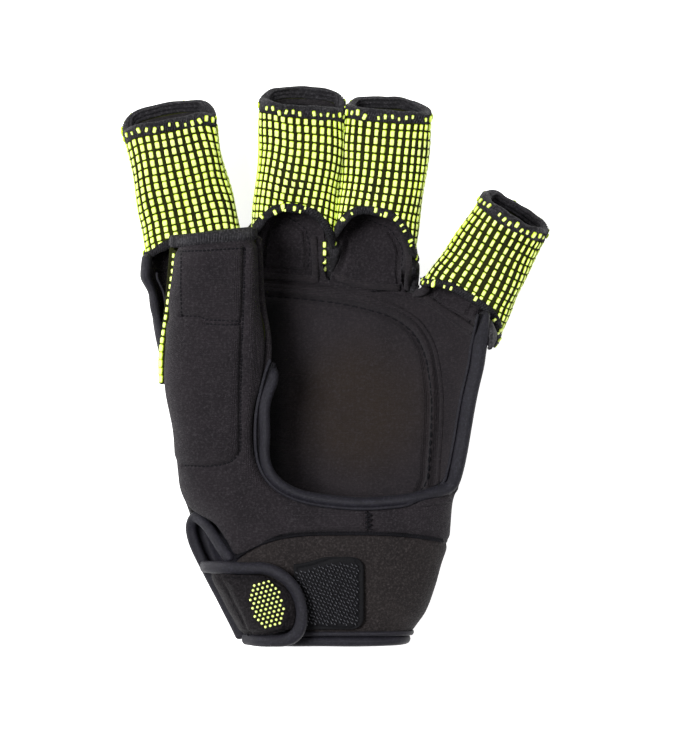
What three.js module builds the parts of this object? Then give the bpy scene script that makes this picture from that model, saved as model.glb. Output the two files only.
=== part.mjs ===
// A field hockey glove for the left hand, lying on its padded back with the palm up.
// Millimetres, +Z up. The origin is on the flat underside of the back pad, +Y points to the fingertips
// and +X to the little finger. Walls are sewn cloth: each panel is a surface with a thickness.
import * as THREE from 'three';

// Driving dimensions of the cloth, the foam and the rolled edges.
const NEOPRENE = 3.0; // wall of the back, the thumb panel and the cuff
const KNIT = 1.4; // wall of the grip mesh on fingers and thumb
const SEAM_GAP = 0.4; // running gap between two sewn panels
const PAD_GAP = 0.4; // gap between a panel and the foam block sewn on it
const FINGER_PAD = 5.6; // foam on the back of a finger
const KNUCKLE_PAD = 5.2; // foam on the back of a knuckle
const PAD_EDGE = 3.2; // how far the back pad's rim is rounded up from the floor
const HEM = { wide: 3.4, high: 4.4 }; // rolled hem at a fingertip, across the wall and along the finger
const ROLL = 3.9; // diameter of the rolled binding round the palm
const THIN_ROLL = 3.5; // diameter of the other bindings
const HOOK_TAPE = { thick: 1.3, left: -16.5, right: 11.6, top: -58.2, bottom: -83.4, corner: 4 };
const SHELL_POWER = 3.2; // squareness of the hand's cross-section
const FINGER_POWER = 2.5; // squareness of a finger's cross-section
const RIB_POWER = 2.6; // squareness of a panel's rounded edge

// The back of the hand, from the knuckles to the wrist: its left and right rims and its underside.
// bow carries the middle of a section towards the fingers.
const BACK_SECTIONS = [
  { xl: -64.6, yl: 42.4, zl: 26.0, xr: 54.8, yr: 23.4, zr: 32.6, low: 9.2, bow: 4.8 },
  { xl: -62.8, yl: 27.0, zl: 27.0, xr: 54.4, yr: 12.5, zr: 34.2, low: 9.0, bow: 2.2 },
  { xl: -59.7, yl: 12.0, zl: 30.4, xr: 52.1, yr: 3.5, zr: 34.5, low: 9.0, bow: 0 },
  { xl: -58.0, yl: 1.8, zl: 35.7, xr: 51.1, yr: -5.3, zr: 34.5, low: 9.0, bow: 0 },
  { xl: -55.0, yl: -14.7, zl: 33.2, xr: 49.2, yr: -17.5, zr: 34.5, low: 9.0, bow: 0 },
  { xl: -51.9, yl: -28.0, zl: 30.7, xr: 47.1, yr: -28.0, zr: 34.0, low: 9.0, bow: 0 },
  { xl: -49.7, yl: -37.0, zl: 28.6, xr: 44.8, yr: -34.2, zr: 32.0, low: 9.0, bow: 0 },
  { xl: -48.4, yl: -43.0, zl: 25.4, xr: 43.0, yr: -39.6, zr: 24.0, low: 8.8, bow: 0 },
  { xl: -46.8, yl: -53.0, zl: 22.6, xr: 41.8, yr: -53.0, zr: 22.4, low: 8.2, bow: 0 },
];
const BOW_SKEW = 0.45; // how much more the little finger's side of a bow rises than the index's side

// The front panel over thumb and heel, rib by rib from the thumb's tip round to the palm's middle seam.
// Each rib runs from the outer edge (0) to the palm's edge (1) over a crown; round is 1 where it curls under.
const FRONT_RIBS = [
  { x0: -54.3, y0: 49.6, z0: 38.2, x1: -25.6, y1: 52.4, z1: 38.2, top: 49.0, at: 0.5, round0: 1, round1: 1 },
  { x0: -55.0, y0: 42.6, z0: 38.2, x1: -25.2, y1: 44.4, z1: 38.4, top: 49.6, at: 0.5, round0: 1, round1: 1 },
  { x0: -56.0, y0: 31.5, z0: 38.0, x1: -24.5, y1: 31.5, z1: 38.8, top: 49.6, at: 0.5, round0: 1, round1: 1 },
  { x0: -57.2, y0: 18.0, z0: 37.4, x1: -22.2, y1: 16.5, z1: 39.8, top: 49.2, at: 0.5, round0: 1, round1: 0.8 },
  { x0: -58.4, y0: 1.8, z0: 36.4, x1: -23.1, y1: 3.5, z1: 41.6, top: 48.4, at: 0.5, round0: 1, round1: 0.4 },
  { x0: -55.5, y0: -14.7, z0: 33.8, x1: -25.6, y1: -6.3, z1: 42.4, top: 47.4, at: 0.55, round0: 1, round1: 0.2 },
  { x0: -52.4, y0: -28.0, z0: 31.3, x1: -26.4, y1: -15.8, z1: 42.6, top: 46.4, at: 0.6, round0: 1, round1: 0.1 },
  { x0: -50.4, y0: -35.4, z0: 29.6, x1: -25.6, y1: -24.0, z1: 42.2, top: 45.2, at: 0.62, round0: 1, round1: 0 },
  { x0: -46.8, y0: -41.4, z0: 31.2, x1: -23.1, y1: -30.1, z1: 41.8, top: 44.2, at: 0.64, round0: 0.9, round1: 0 },
  { x0: -40.6, y0: -46.6, z0: 35.4, x1: -19.3, y1: -34.3, z1: 41.4, top: 43.0, at: 0.6, round0: 0.5, round1: 0 },
  { x0: -36.2, y0: -52.8, z0: 38.2, x1: -14.0, y1: -37.4, z1: 41.0, top: 42.0, at: 0.6, round0: 0, round1: 0 },
  { x0: -31.4, y0: -57.4, z0: 39.4, x1: -8.4, y1: -39.2, z1: 40.8, top: 41.4, at: 0.6, round0: 0, round1: 0 },
  { x0: -17.6, y0: -51.2, z0: 39.9, x1: -1.0, y1: -40.4, z1: 40.6, top: 41.0, at: 0.6, round0: 0, round1: 0 },
  { x0: -2.0, y0: -49.7, z0: 40.1, x1: 6.0, y1: -41.1, z1: 40.5, top: 40.8, at: 0.6, round0: 0, round1: 0 },
  { x0: 13.0, y0: -49.7, z0: 40.2, x1: 13.0, y1: -41.4, z1: 40.4, top: 40.6, at: 0.6, round0: 0, round1: 0 },
];

// The heel's other half, from the middle seam over to the little finger's side. Its lower edge is the arch.
const SIDE_RIBS = [
  { x0: 13.8, y0: -41.4, z0: 40.4, x1: 43.2, y1: -38.6, z1: 26.0, top: 40.4, at: 0.02, round0: 0, round1: 1 },
  { x0: 13.8, y0: -45.0, z0: 40.3, x1: 42.7, y1: -45.4, z1: 24.6, top: 40.3, at: 0.02, round0: 0, round1: 1 },
  { x0: 13.8, y0: -49.4, z0: 40.2, x1: 42.0, y1: -53.0, z1: 23.6, top: 40.2, at: 0.02, round0: 0, round1: 1 },
];

// The mesh on the thumb's other face, from the thumb's tip down. top is the lowest point, over the index.
const THUMB_BACK_RIBS = [
  { x0: -55.6, y0: 49.6, z0: 37.6, x1: -24.7, y1: 52.4, z1: 37.6, top: 31.6, at: 0.5, round0: 1, round1: 1 },
  { x0: -56.2, y0: 42.6, z0: 37.6, x1: -24.3, y1: 44.4, z1: 37.8, top: 31.4, at: 0.5, round0: 1, round1: 1 },
  { x0: -57.2, y0: 31.5, z0: 37.3, x1: -23.6, y1: 31.5, z1: 38.2, top: 31.4, at: 0.5, round0: 1, round1: 1 },
  { x0: -58.6, y0: 18.0, z0: 36.6, x1: -21.4, y1: 20.0, z1: 39.2, top: 32.6, at: 0.5, round0: 1, round1: 1 },
  { x0: -59.0, y0: 8.6, z0: 36.1, x1: -22.6, y1: 13.5, z1: 39.9, top: 33.4, at: 0.5, round0: 1, round1: 1 },
];

// The cuff from the arched palm seam to the wrist.
const CUFF_SECTIONS = [
  { y: -53.4, left: -46.6, right: 41.6, low: 8.0, high: 40.2 },
  { y: -61.0, left: -43.6, right: 39.0, low: 7.2, high: 39.6 },
  { y: -68.6, left: -39.6, right: 36.6, low: 6.5, high: 38.8 },
  { y: -77.5, left: -34.6, right: 33.6, low: 5.8, high: 37.6 },
  { y: -85.8, left: -30.2, right: 28.6, low: 5.4, high: 36.2 },
];
// The arched seam's height on the palm side, and how far it drops at each end.
const ARCH = { top: -49.7, middle: 8, rightRun: 33.8, rightDrop: 3.3, leftRun: 41, leftDrop: 8.8 };
const CUFF_ENDS = { front: 128, back: 184 }; // where the slit cuts the cuff, in degrees round its section

// The closing tab, from its upper to its lower edge. Each rib runs from the slit's binding to the free end.
const TAB_RIBS = [
  { x0: -42.4, y0: -64.4, z0: 27.3, x1: -22.6, y1: -64.2, z1: 43.8, top: 44.6, at: 0.6, round0: 1, round1: 0 },
  { x0: -40.4, y0: -68.4, z0: 27.3, x1: -16.0, y1: -68.0, z1: 44.2, top: 45.4, at: 0.6, round0: 1, round1: 0 },
  { x0: -37.8, y0: -73.2, z0: 27.2, x1: -12.6, y1: -73.0, z1: 44.2, top: 45.6, at: 0.6, round0: 1, round1: 0 },
  { x0: -35.0, y0: -78.4, z0: 27.2, x1: -12.0, y1: -78.6, z1: 43.8, top: 45.0, at: 0.6, round0: 1, round1: 0 },
  { x0: -32.6, y0: -82.8, z0: 27.2, x1: -13.4, y1: -83.2, z1: 43.0, top: 43.8, at: 0.6, round0: 1, round1: 0 },
  { x0: -31.2, y0: -85.4, z0: 27.0, x1: -18.8, y1: -85.6, z1: 41.8, top: 42.4, at: 0.7, round0: 1, round1: 0 },
];

// The binding that runs along the thumb panel's slit edge, turns at the slit's top and goes down the side.
const SLIT_ROUTE = [
  { x: -35.2, y: -58.6, z: 38.0 },
  { x: -38.2, y: -54.4, z: 36.8 },
  { x: -42.6, y: -48.0, z: 33.4 },
  { x: -46.8, y: -44.6, z: 29.4 },
  { x: -48.6, y: -47.4, z: 27.0 },
  { x: -48.0, y: -52.2, z: 25.9 },
  { x: -45.4, y: -58.6, z: 25.4 },
  { x: -41.8, y: -65.4, z: 25.2 },
  { x: -36.6, y: -75.6, z: 25.0 },
  { x: -31.4, y: -86.0, z: 24.6 },
];

// The binding round the closing tab.
const TAB_ROUTE = [
  { x: -43.8, y: -61.8, z: 29.4 },
  { x: -41.8, y: -61.8, z: 35.8 },
  { x: -36.4, y: -61.8, z: 41.6 },
  { x: -29.0, y: -62.0, z: 43.8 },
  { x: -22.8, y: -62.0, z: 44.0 },
  { x: -17.6, y: -64.0, z: 44.2 },
  { x: -13.2, y: -67.8, z: 44.4 },
  { x: -10.6, y: -72.8, z: 44.2 },
  { x: -9.8, y: -79.0, z: 43.8 },
  { x: -11.2, y: -84.4, z: 43.0 },
  { x: -15.0, y: -87.4, z: 42.2 },
  { x: -20.6, y: -88.0, z: 40.4 },
  { x: -25.4, y: -87.8, z: 37.0 },
  { x: -29.2, y: -87.6, z: 31.6 },
];

// Each finger from the knuckle to the tip: the middle of its section, its width and its height.
// root is where the mesh begins, in shares of the length: at the sides, how much higher in the middle, the
// slant from left to right and a dip on the right. edge is the piece of the back's rim that the root grows
// from, spread the part of the section it joins in degrees, pad the foam's reach, tip the mouth's slant.
const FINGERS = [
  {
    name: 'index',
    root: { side: 0.2, arch: 0.1, slant: 0, dip: 0 },
    edge: { from: 'left', to: -31.6 },
    spread: { from: 185, to: 360 },
    pad: { from: 0.3, to: 0.84 },
    tip: 0.015,
    rows: [
      { x: -47.4, y: 42.0, z: 19.4, w: 33.0, h: 19.6 },
      { x: -47.8, y: 49.5, z: 20.4, w: 33.4, h: 18.6 },
      { x: -49.7, y: 60.5, z: 22.8, w: 33.0, h: 17.4 },
      { x: -52.2, y: 72.5, z: 27.0, w: 32.0, h: 16.4 },
      { x: -54.6, y: 84.0, z: 32.0, w: 31.2, h: 15.8 },
      { x: -56.6, y: 94.6, z: 36.6, w: 30.8, h: 15.6 },
    ],
  },
  {
    name: 'middle',
    root: { side: 0.31, arch: 0.19, slant: 0, dip: 0 },
    edge: { from: -30.4, to: -0.6 },
    spread: { from: 180, to: 360 },
    pad: { from: 0.18, to: 0.82 },
    tip: 0.015,
    rows: [
      { x: -14.0, y: 36.2, z: 19.2, w: 27.0, h: 19.6 },
      { x: -13.8, y: 46.0, z: 20.2, w: 27.8, h: 18.6 },
      { x: -12.8, y: 59.0, z: 22.4, w: 28.4, h: 17.4 },
      { x: -11.3, y: 73.0, z: 26.6, w: 28.8, h: 16.4 },
      { x: -10.3, y: 87.0, z: 32.0, w: 28.8, h: 15.8 },
      { x: -9.9, y: 100.0, z: 37.4, w: 28.9, h: 15.6 },
    ],
  },
  {
    name: 'ring',
    root: { side: 0.31, arch: 0.2, slant: -0.033, dip: 0 },
    edge: { from: 0.6, to: 27.4 },
    spread: { from: 180, to: 360 },
    pad: { from: 0.18, to: 0.82 },
    tip: 0,
    rows: [
      { x: 14.2, y: 33.6, z: 19.2, w: 27.0, h: 19.6 },
      { x: 15.0, y: 44.0, z: 20.2, w: 27.8, h: 18.6 },
      { x: 16.6, y: 57.0, z: 22.4, w: 28.2, h: 17.4 },
      { x: 18.3, y: 71.0, z: 26.4, w: 28.8, h: 16.4 },
      { x: 19.9, y: 84.6, z: 31.4, w: 29.0, h: 15.8 },
      { x: 21.0, y: 97.2, z: 36.0, w: 29.2, h: 15.6 },
    ],
  },
  {
    name: 'little',
    root: { side: 0.26, arch: 0.13, slant: -0.022, dip: 0.14 },
    edge: { from: 29.4, to: 52.6 },
    spread: { from: 184, to: 320 },
    pad: { from: 0.14, to: 0.7 },
    tip: 0,
    rows: [
      { x: 42.4, y: 21.6, z: 20.2, w: 31.0, h: 19.8 },
      { x: 45.4, y: 27.2, z: 20.8, w: 32.4, h: 18.8 },
      { x: 49.8, y: 35.4, z: 22.8, w: 31.2, h: 17.8 },
      { x: 54.4, y: 43.6, z: 26.2, w: 29.0, h: 16.8 },
      { x: 59.2, y: 52.0, z: 30.4, w: 26.8, h: 16.0 },
      { x: 64.1, y: 60.4, z: 34.4, w: 25.6, h: 15.6 },
    ],
  },
];
const TIP_END = 0.965; // where a mesh tube ends, as a share of its finger
const ROOT_GAP = 0.9; // gap between the back's rim and a finger's root
const ROOT_PULL = { leave: 1.15, arrive: 0.6 }; // how far a root follows the back's and the mesh's directions at its two ends

// Materials, from the photograph's colours.
const cloth = (colour, roughness) =>
  new THREE.MeshStandardMaterial({ color: new THREE.Color(...colour), roughness, metalness: 0 });
const MATERIALS = {
  neoprene: cloth([0.032, 0.031, 0.034], 0.9),
  loopNeoprene: cloth([0.038, 0.034, 0.031], 0.95),
  binding: cloth([0.024, 0.025, 0.034], 0.75),
  gripMesh: cloth([0.55, 0.8, 0.08], 0.7),
  hem: cloth([0.025, 0.025, 0.03], 0.85),
  foam: cloth([0.03, 0.03, 0.033], 0.9),
  hookTape: cloth([0.02, 0.021, 0.024], 0.5),
};

const UP = new THREE.Vector3(0, 0, 1);
const vec = (x, y, z) => new THREE.Vector3(x, y, z);
const mix = (a, b, t) => a + (b - a) * t;
const signedPower = (value, power) => Math.sign(value) * Math.abs(value) ** power;

// One row of a table at v from 0 to 1, every column smoothed by a Catmull-Rom curve.
function rowAt(rows, v) {
  const place = Math.min(Math.max(v, 0), 1) * (rows.length - 1);
  const i = Math.min(Math.floor(place), rows.length - 2);
  const t = place - i;
  const near = (k) => rows[Math.min(Math.max(k, 0), rows.length - 1)];
  const row = {};
  for (const key of Object.keys(rows[0])) {
    const [a, b, c, d] = [near(i - 1)[key], near(i)[key], near(i + 1)[key], near(i + 2)[key]];
    row[key] =
      b + 0.5 * t * (c - a + t * (2 * a - 5 * b + 4 * c - d + t * (3 * (b - c) + d - a)));
  }
  return row;
}

// The back of the hand: half a superellipse from the left rim under to the right rim.
function backPoint(u, v) {
  const row = rowAt(BACK_SECTIONS, v);
  const angle = Math.PI * u;
  const power = 2 / SHELL_POWER;
  const across = (1 - signedPower(Math.cos(angle), power)) / 2;
  const rim = mix(row.zl, row.zr, across);
  const bow = row.bow * Math.sin(angle) ** 2 * (1 + BOW_SKEW * (2 * across - 1));
  return vec(
    mix(row.xl, row.xr, across),
    mix(row.yl, row.yr, across) + bow,
    rim - (rim - row.low) * Math.abs(Math.sin(angle)) ** power,
  );
}

// The share u of the back's first section at which it passes x.
function backShareAt(x) {
  const { xl, xr } = BACK_SECTIONS[0];
  const across = (x - xl) / (xr - xl);
  return Math.acos(signedPower(1 - 2 * across, SHELL_POWER / 2)) / Math.PI;
}

// A panel's rib: it rises from each edge to a crown, as a superellipse where the edge is round.
function ribPoint(rows, u, v) {
  const row = rowAt(rows, v);
  const along = (1 - Math.cos(Math.PI * u)) / 2;
  const before = along < row.at;
  const toEdge = before ? 1 - along / row.at : (along - row.at) / (1 - row.at);
  const edge = before ? row.z0 : row.z1;
  const round = Math.min(Math.max(before ? row.round0 : row.round1, 0), 1);
  const lift = Math.max(1 - toEdge ** RIB_POWER, 0) ** mix(1, 1 / RIB_POWER, round);
  return vec(mix(row.x0, row.x1, along), mix(row.y0, row.y1, along), mix(edge, row.top, lift));
}

// The height of the arched seam above the wrist at x, on the palm side.
function archAt(x) {
  const off = x - ARCH.middle;
  return off > 0
    ? ARCH.top - ARCH.rightDrop * (off / ARCH.rightRun) ** 2.5
    : ARCH.top - ARCH.leftDrop * (-off / ARCH.leftRun) ** 3.7;
}

// The cuff: a superellipse whose upper edge follows the arched seam on the palm side.
function cuffPoint(degrees, v) {
  const angle = THREE.MathUtils.degToRad(degrees);
  const [cos, sin] = [Math.cos(angle), Math.sin(angle)];
  const section = (y) => {
    const first = CUFF_SECTIONS[0].y;
    const last = CUFF_SECTIONS.at(-1).y;
    const row = rowAt(CUFF_SECTIONS, (y - first) / (last - first));
    return vec(
      mix(row.left, row.right, (1 + signedPower(cos, 2 / SHELL_POWER)) / 2),
      y,
      mix(row.low, row.high, (1 + signedPower(sin, 2 / SHELL_POWER)) / 2),
    );
  };
  const flat = CUFF_SECTIONS[0].y;
  const palm = Math.min(Math.max(sin * 3, 0), 1);
  const upper = mix(flat, archAt(section(flat).x) - 1.5 * SEAM_GAP, palm);
  return section(mix(upper, CUFF_SECTIONS.at(-1).y, v));
}

// The frame of a finger's section: middle, side direction, and the direction out of the palm.
function fingerFrame(finger, v) {
  const step = 0.01;
  const row = rowAt(finger.rows, v);
  const [before, after] = [rowAt(finger.rows, v - step), rowAt(finger.rows, v + step)];
  const along = vec(after.x - before.x, after.y - before.y, after.z - before.z).normalize();
  const side = along.clone().cross(UP).normalize();
  return { row, along, side, out: side.clone().cross(along) };
}

// A finger's outer surface; angle 0 is its right side, a quarter turn the palm side.
function fingerPoint(finger, angle, v) {
  const { row, side, out } = fingerFrame(finger, v);
  const power = 2 / FINGER_POWER;
  return vec(row.x, row.y, row.z)
    .addScaledVector(side, (row.w / 2) * signedPower(Math.cos(angle), power))
    .addScaledVector(out, (row.h / 2) * signedPower(Math.sin(angle), power));
}

// Where a finger's mesh begins and ends at an angle round it.
function meshStart(finger, angle) {
  const { side, arch, slant, dip } = finger.root;
  const dropped = dip * Math.max(Math.cos(angle), 0) ** 10;
  return side + arch * Math.sin(angle) ** 2 + slant * Math.cos(angle) - dropped;
}
const meshEnd = (finger, angle) => TIP_END - finger.tip * Math.sin(angle);

// A finger's root: it grows from the back's rim and becomes the lower half of the finger's section.
function rootPoint(finger, u, v) {
  const { from, to } = finger.edge;
  const start = from === 'left' ? 0.02 : backShareAt(from);
  const end = backShareAt(to);
  const share = mix(start, end, u);
  const rim = backPoint(share, 0);
  const leave = rim.clone().sub(backPoint(share, 0.02)).normalize();
  const angle = THREE.MathUtils.degToRad(mix(finger.spread.from, finger.spread.to, u));
  const place = meshStart(finger, angle) - 0.028;
  const mesh = fingerPoint(finger, angle, place);
  const arrive = fingerPoint(finger, angle, place + 0.01).sub(mesh).normalize();
  rim.addScaledVector(leave, ROOT_GAP);
  const reach = rim.distanceTo(mesh);
  const [v2, v3] = [v * v, v * v * v];
  return rim
    .multiplyScalar(2 * v3 - 3 * v2 + 1)
    .addScaledVector(leave, (v3 - 2 * v2 + v) * reach * ROOT_PULL.leave)
    .addScaledVector(mesh, 3 * v2 - 2 * v3)
    .addScaledVector(arrive, (v3 - v2) * reach * ROOT_PULL.arrive);
}

// The unit normal of a surface at (u, v), by finite differences, turned by side.
function normalAt(surface, u, v, side, closed) {
  const step = 1e-3;
  const [u0, u1] = closed ? [u - step, u + step] : [Math.max(u - step, 0), Math.min(u + step, 1)];
  const [v0, v1] = [Math.max(v - step, 0), Math.min(v + step, 1)];
  const across = surface(u1, v).sub(surface(u0, v));
  const along = surface(u, v1).sub(surface(u, v0));
  return across.cross(along).normalize().multiplyScalar(side);
}

// The surface moved outwards by a distance, or by a function of u and v. side turns its normal outwards.
function offset(surface, distance, side, closed = false) {
  const by = typeof distance === 'function' ? distance : () => distance;
  return (u, v) => surface(u, v).addScaledVector(normalAt(surface, u, v, side, closed), by(u, v));
}

// A geometry from points and triangles, with its faces turned outwards.
function closedGeometry(points, triangles) {
  let volume = 0;
  for (let i = 0; i < triangles.length; i += 3) {
    const [a, b, c] = [points[triangles[i]], points[triangles[i + 1]], points[triangles[i + 2]]];
    volume += a.clone().cross(b).dot(c);
  }
  const index = volume < 0 ? triangles.reverse() : triangles;
  const geometry = new THREE.BufferGeometry();
  geometry.setAttribute(
    'position',
    new THREE.Float32BufferAttribute(points.flatMap((p) => p.toArray()), 3),
  );
  geometry.setIndex(index);
  geometry.computeVertexNormals();
  return geometry;
}

// A closed solid between two surfaces on the same grid. A closed one goes round in u and has no side edges.
function between(outer, inner, across, along, closed = false) {
  const columns = closed ? across : across + 1;
  const points = [];
  for (const surface of [outer, inner])
    for (let j = 0; j <= along; j++)
      for (let i = 0; i < columns; i++) points.push(surface(i / across, j / along));
  const layer = columns * (along + 1);
  const at = (face, i, j) => face * layer + j * columns + (closed ? i % columns : i);
  const triangles = [];
  const quad = (a, b, c, d) => triangles.push(a, b, c, a, c, d);
  for (let j = 0; j < along; j++)
    for (let i = 0; i < across; i++) {
      quad(at(0, i, j), at(0, i + 1, j), at(0, i + 1, j + 1), at(0, i, j + 1));
      quad(at(1, i, j), at(1, i, j + 1), at(1, i + 1, j + 1), at(1, i + 1, j));
    }
  for (let i = 0; i < across; i++) {
    quad(at(0, i, 0), at(1, i, 0), at(1, i + 1, 0), at(0, i + 1, 0));
    quad(at(0, i, along), at(0, i + 1, along), at(1, i + 1, along), at(1, i, along));
  }
  if (!closed)
    for (let j = 0; j < along; j++) {
      quad(at(0, 0, j), at(0, 0, j + 1), at(1, 0, j + 1), at(1, 0, j));
      quad(at(0, across, j), at(1, across, j), at(1, across, j + 1), at(0, across, j + 1));
    }
  return closedGeometry(points, triangles);
}

// A cloth wall of a thickness, inwards from its outer surface.
const wall = (surface, thickness, side, across, along, closed = false) =>
  between(surface, offset(surface, -thickness, side, closed), across, along, closed);

// A foam block on a part of a surface, thinner towards its rim.
function foamBlock(surface, thickness, side, across, along) {
  const rim = (u, v) => {
    const edge = Math.min(u, 1 - u, v, 1 - v);
    return PAD_GAP + thickness * mix(0.45, 1, Math.min(edge / 0.16, 1));
  };
  return between(offset(surface, rim, side), offset(surface, PAD_GAP, side), across, along);
}

// A part of a surface, from (u0, v0) to (u1, v1), as a surface of its own.
const partOf = (surface, u0, u1, v0, v1) => (u, v) => surface(mix(u0, u1, u), mix(v0, v1, v));

// A rolled edge along a route: an oval section, wide across the face that up points out of.
function roll(route, ups, wide, high, sides, closed = false) {
  const last = route.length - 1;
  const points = [];
  route.forEach((middle, k) => {
    const before = route[closed ? (k + last) % (last + 1) : Math.max(k - 1, 0)];
    const after = route[closed ? (k + 1) % (last + 1) : Math.min(k + 1, last)];
    const along = after.clone().sub(before).normalize();
    const side = along.clone().cross(ups[k]).normalize();
    const out = side.clone().cross(along);
    for (let i = 0; i < sides; i++) {
      const angle = (2 * Math.PI * i) / sides;
      points.push(
        middle
          .clone()
          .addScaledVector(side, (wide / 2) * Math.cos(angle))
          .addScaledVector(out, (high / 2) * Math.sin(angle)),
      );
    }
  });
  const triangles = [];
  const at = (k, i) => (k % route.length) * sides + (i % sides);
  for (let k = 0; k < (closed ? route.length : last); k++)
    for (let i = 0; i < sides; i++)
      triangles.push(at(k, i), at(k + 1, i), at(k + 1, i + 1), at(k, i), at(k + 1, i + 1), at(k, i + 1));
  if (!closed)
    for (const [k, turn] of [[0, 1], [last, -1]]) {
      const hub = points.push(route[k].clone()) - 1;
      for (let i = 0; i < sides; i++)
        triangles.push(...(turn > 0 ? [hub, at(k, i), at(k, i + 1)] : [hub, at(k, i + 1), at(k, i)]));
    }
  return closedGeometry(points, triangles);
}

// A smooth route of steps + 1 points through a short list of places.
function smoothRoute(places, steps) {
  const curve = new THREE.CatmullRomCurve3(places.map((p) => vec(p.x, p.y, p.z)), false, 'centripetal');
  return curve.getSpacedPoints(steps);
}

const glove = new THREE.Group();
glove.name = 'field_hockey_glove';

function add(name, geometry, material) {
  const mesh = new THREE.Mesh(geometry, material);
  mesh.name = name;
  glove.add(mesh);
}

// The hand: back, thumb and heel panels.
add('back_shell', wall(backPoint, NEOPRENE, 1, 22, 12), MATERIALS.neoprene);
const frontPoint = (u, v) => ribPoint(FRONT_RIBS, u, v);
add('front_panel', wall(frontPoint, NEOPRENE, -1, 9, 24), MATERIALS.neoprene);
const sidePoint = (u, v) => {
  const point = ribPoint(SIDE_RIBS, u, v);
  return point.setY(mix(ribPoint(SIDE_RIBS, u, 0).y, archAt(point.x), v));
};
add('side_panel', wall(sidePoint, NEOPRENE, -1, 7, 3), MATERIALS.neoprene);
const thumbBackPoint = (u, v) => ribPoint(THUMB_BACK_RIBS, u, v);
add('thumb_back', wall(thumbBackPoint, KNIT, 1, 10, 8), MATERIALS.gripMesh);

// The fingers: root gutter, mesh tube, rolled hem and the foam on the back of each.
for (const finger of FINGERS) {
  const root = (u, v) => rootPoint(finger, u, v);
  add(`${finger.name}_root`, wall(root, NEOPRENE, -1, 10, 5), MATERIALS.neoprene);

  const tube = (u, v) => {
    const angle = 2 * Math.PI * u;
    return fingerPoint(finger, angle, mix(meshStart(finger, angle), meshEnd(finger, angle), v));
  };
  add(`${finger.name}_tube`, wall(tube, KNIT, -1, 18, 6, true), MATERIALS.gripMesh);

  const hemSteps = 18;
  const [hemRoute, hemUps] = [[], []];
  for (let k = 0; k < hemSteps; k++) {
    const u = k / hemSteps;
    const { along } = fingerFrame(finger, 1);
    const inwards = normalAt(tube, u, 1, -1, true);
    const rim = tube(u, 1).addScaledVector(inwards, -KNIT / 2);
    hemRoute.push(rim.addScaledVector(along, HEM.high / 2 + SEAM_GAP));
    hemUps.push(inwards);
  }
  add(`${finger.name}_hem`, roll(hemRoute, hemUps, HEM.high, HEM.wide, 6, true), MATERIALS.hem);

  const { from, to } = finger.pad;
  const knuckle = partOf(root, from, to, 0.14, 0.9);
  add(`${finger.name}_knuckle_pad`, foamBlock(knuckle, KNUCKLE_PAD, -1, 6, 5), MATERIALS.foam);
  const backOfTube = partOf(tube, 0.64, 0.86, 0.06, 0.92);
  add(`${finger.name}_finger_pad`, foamBlock(backOfTube, FINGER_PAD, -1, 6, 7), MATERIALS.foam);
}

// The big foam pad on the back of the hand, flat where the glove rests.
const padTop = partOf(offset(backPoint, PAD_GAP, 1), backShareAt(-48), backShareAt(41), 0.1, 0.74);
const padUnder = (u, v) => {
  const edge = Math.min(u, 1 - u, v, 1 - v);
  const point = padTop(u, v);
  return vec(point.x, point.y, PAD_EDGE * (1 - Math.min(edge / 0.11, 1)) ** 2);
};
add('back_pad', between(padUnder, padTop, 10, 8), MATERIALS.foam);

// The wrist: cuff, hook tape, closing tab.
const cuff = (u, v) => cuffPoint(mix(CUFF_ENDS.front, CUFF_ENDS.back - 360, u), v);
add('wrist_cuff', wall(cuff, NEOPRENE, -1, 26, 5), MATERIALS.loopNeoprene);

// The cuff's height on the palm side at (x, y).
function cuffHeight(x, y) {
  const [first, last] = [CUFF_SECTIONS[0].y, CUFF_SECTIONS.at(-1).y];
  const row = rowAt(CUFF_SECTIONS, (y - first) / (last - first));
  const across = Math.abs((2 * (x - row.left)) / (row.right - row.left) - 1);
  return mix(row.low, row.high, (1 + (1 - across ** SHELL_POWER) ** (1 / SHELL_POWER)) / 2);
}
const hookPoint = (lift) => (u, v) => {
  const { left, right, top, bottom, corner } = HOOK_TAPE;
  const y = mix(top, bottom, v);
  const toCorner = Math.max(corner - Math.min(top - y, y - bottom), 0) / corner;
  const x = mix(left, right - corner * (1 - Math.sqrt(1 - toCorner ** 2)), u);
  return vec(x, y, cuffHeight(x, y) + lift);
};
add(
  'hook_tape',
  between(hookPoint(SEAM_GAP + HOOK_TAPE.thick), hookPoint(SEAM_GAP), 6, 10),
  MATERIALS.hookTape,
);
const tabPoint = (u, v) => ribPoint(TAB_RIBS, u, v);
add('closing_tab', wall(tabPoint, NEOPRENE, -1, 10, 7), MATERIALS.loopNeoprene);

// The rolled bindings. An edge's binding sits just off the edge of its panel.
function edgeRoute(surface, count, uv, side, beyond, inwards) {
  const [route, ups] = [[], []];
  for (let k = 0; k <= count; k++) {
    const [u, v] = uv(k / count);
    const up = normalAt(surface, u, v, side, false);
    const [du, dv] = inwards;
    const [before, after] = [uv(Math.max(k - 0.5, 0) / count), uv(Math.min(k + 0.5, count) / count)];
    const tangent = surface(...after).sub(surface(...before));
    const away = tangent.cross(up).normalize();
    if (away.dot(surface(u + du, v + dv).sub(surface(u, v))) > 0) away.negate();
    route.push(surface(u, v).addScaledVector(up, -NEOPRENE / 2).addScaledVector(away, beyond));
    ups.push(up);
  }
  return [route, ups];
}
const palmBeyond = ROLL / 2 + SEAM_GAP;
const [frontEdge] = edgeRoute(frontPoint, 30, (t) => [1, mix(0.24, 1, t)], -1, palmBeyond, [-0.02, 0]);
const [sideEdge] = edgeRoute(sidePoint, 6, (t) => [mix(0.1, 0.6, t), 0], -1, palmBeyond, [0, 0.1]);
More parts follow.
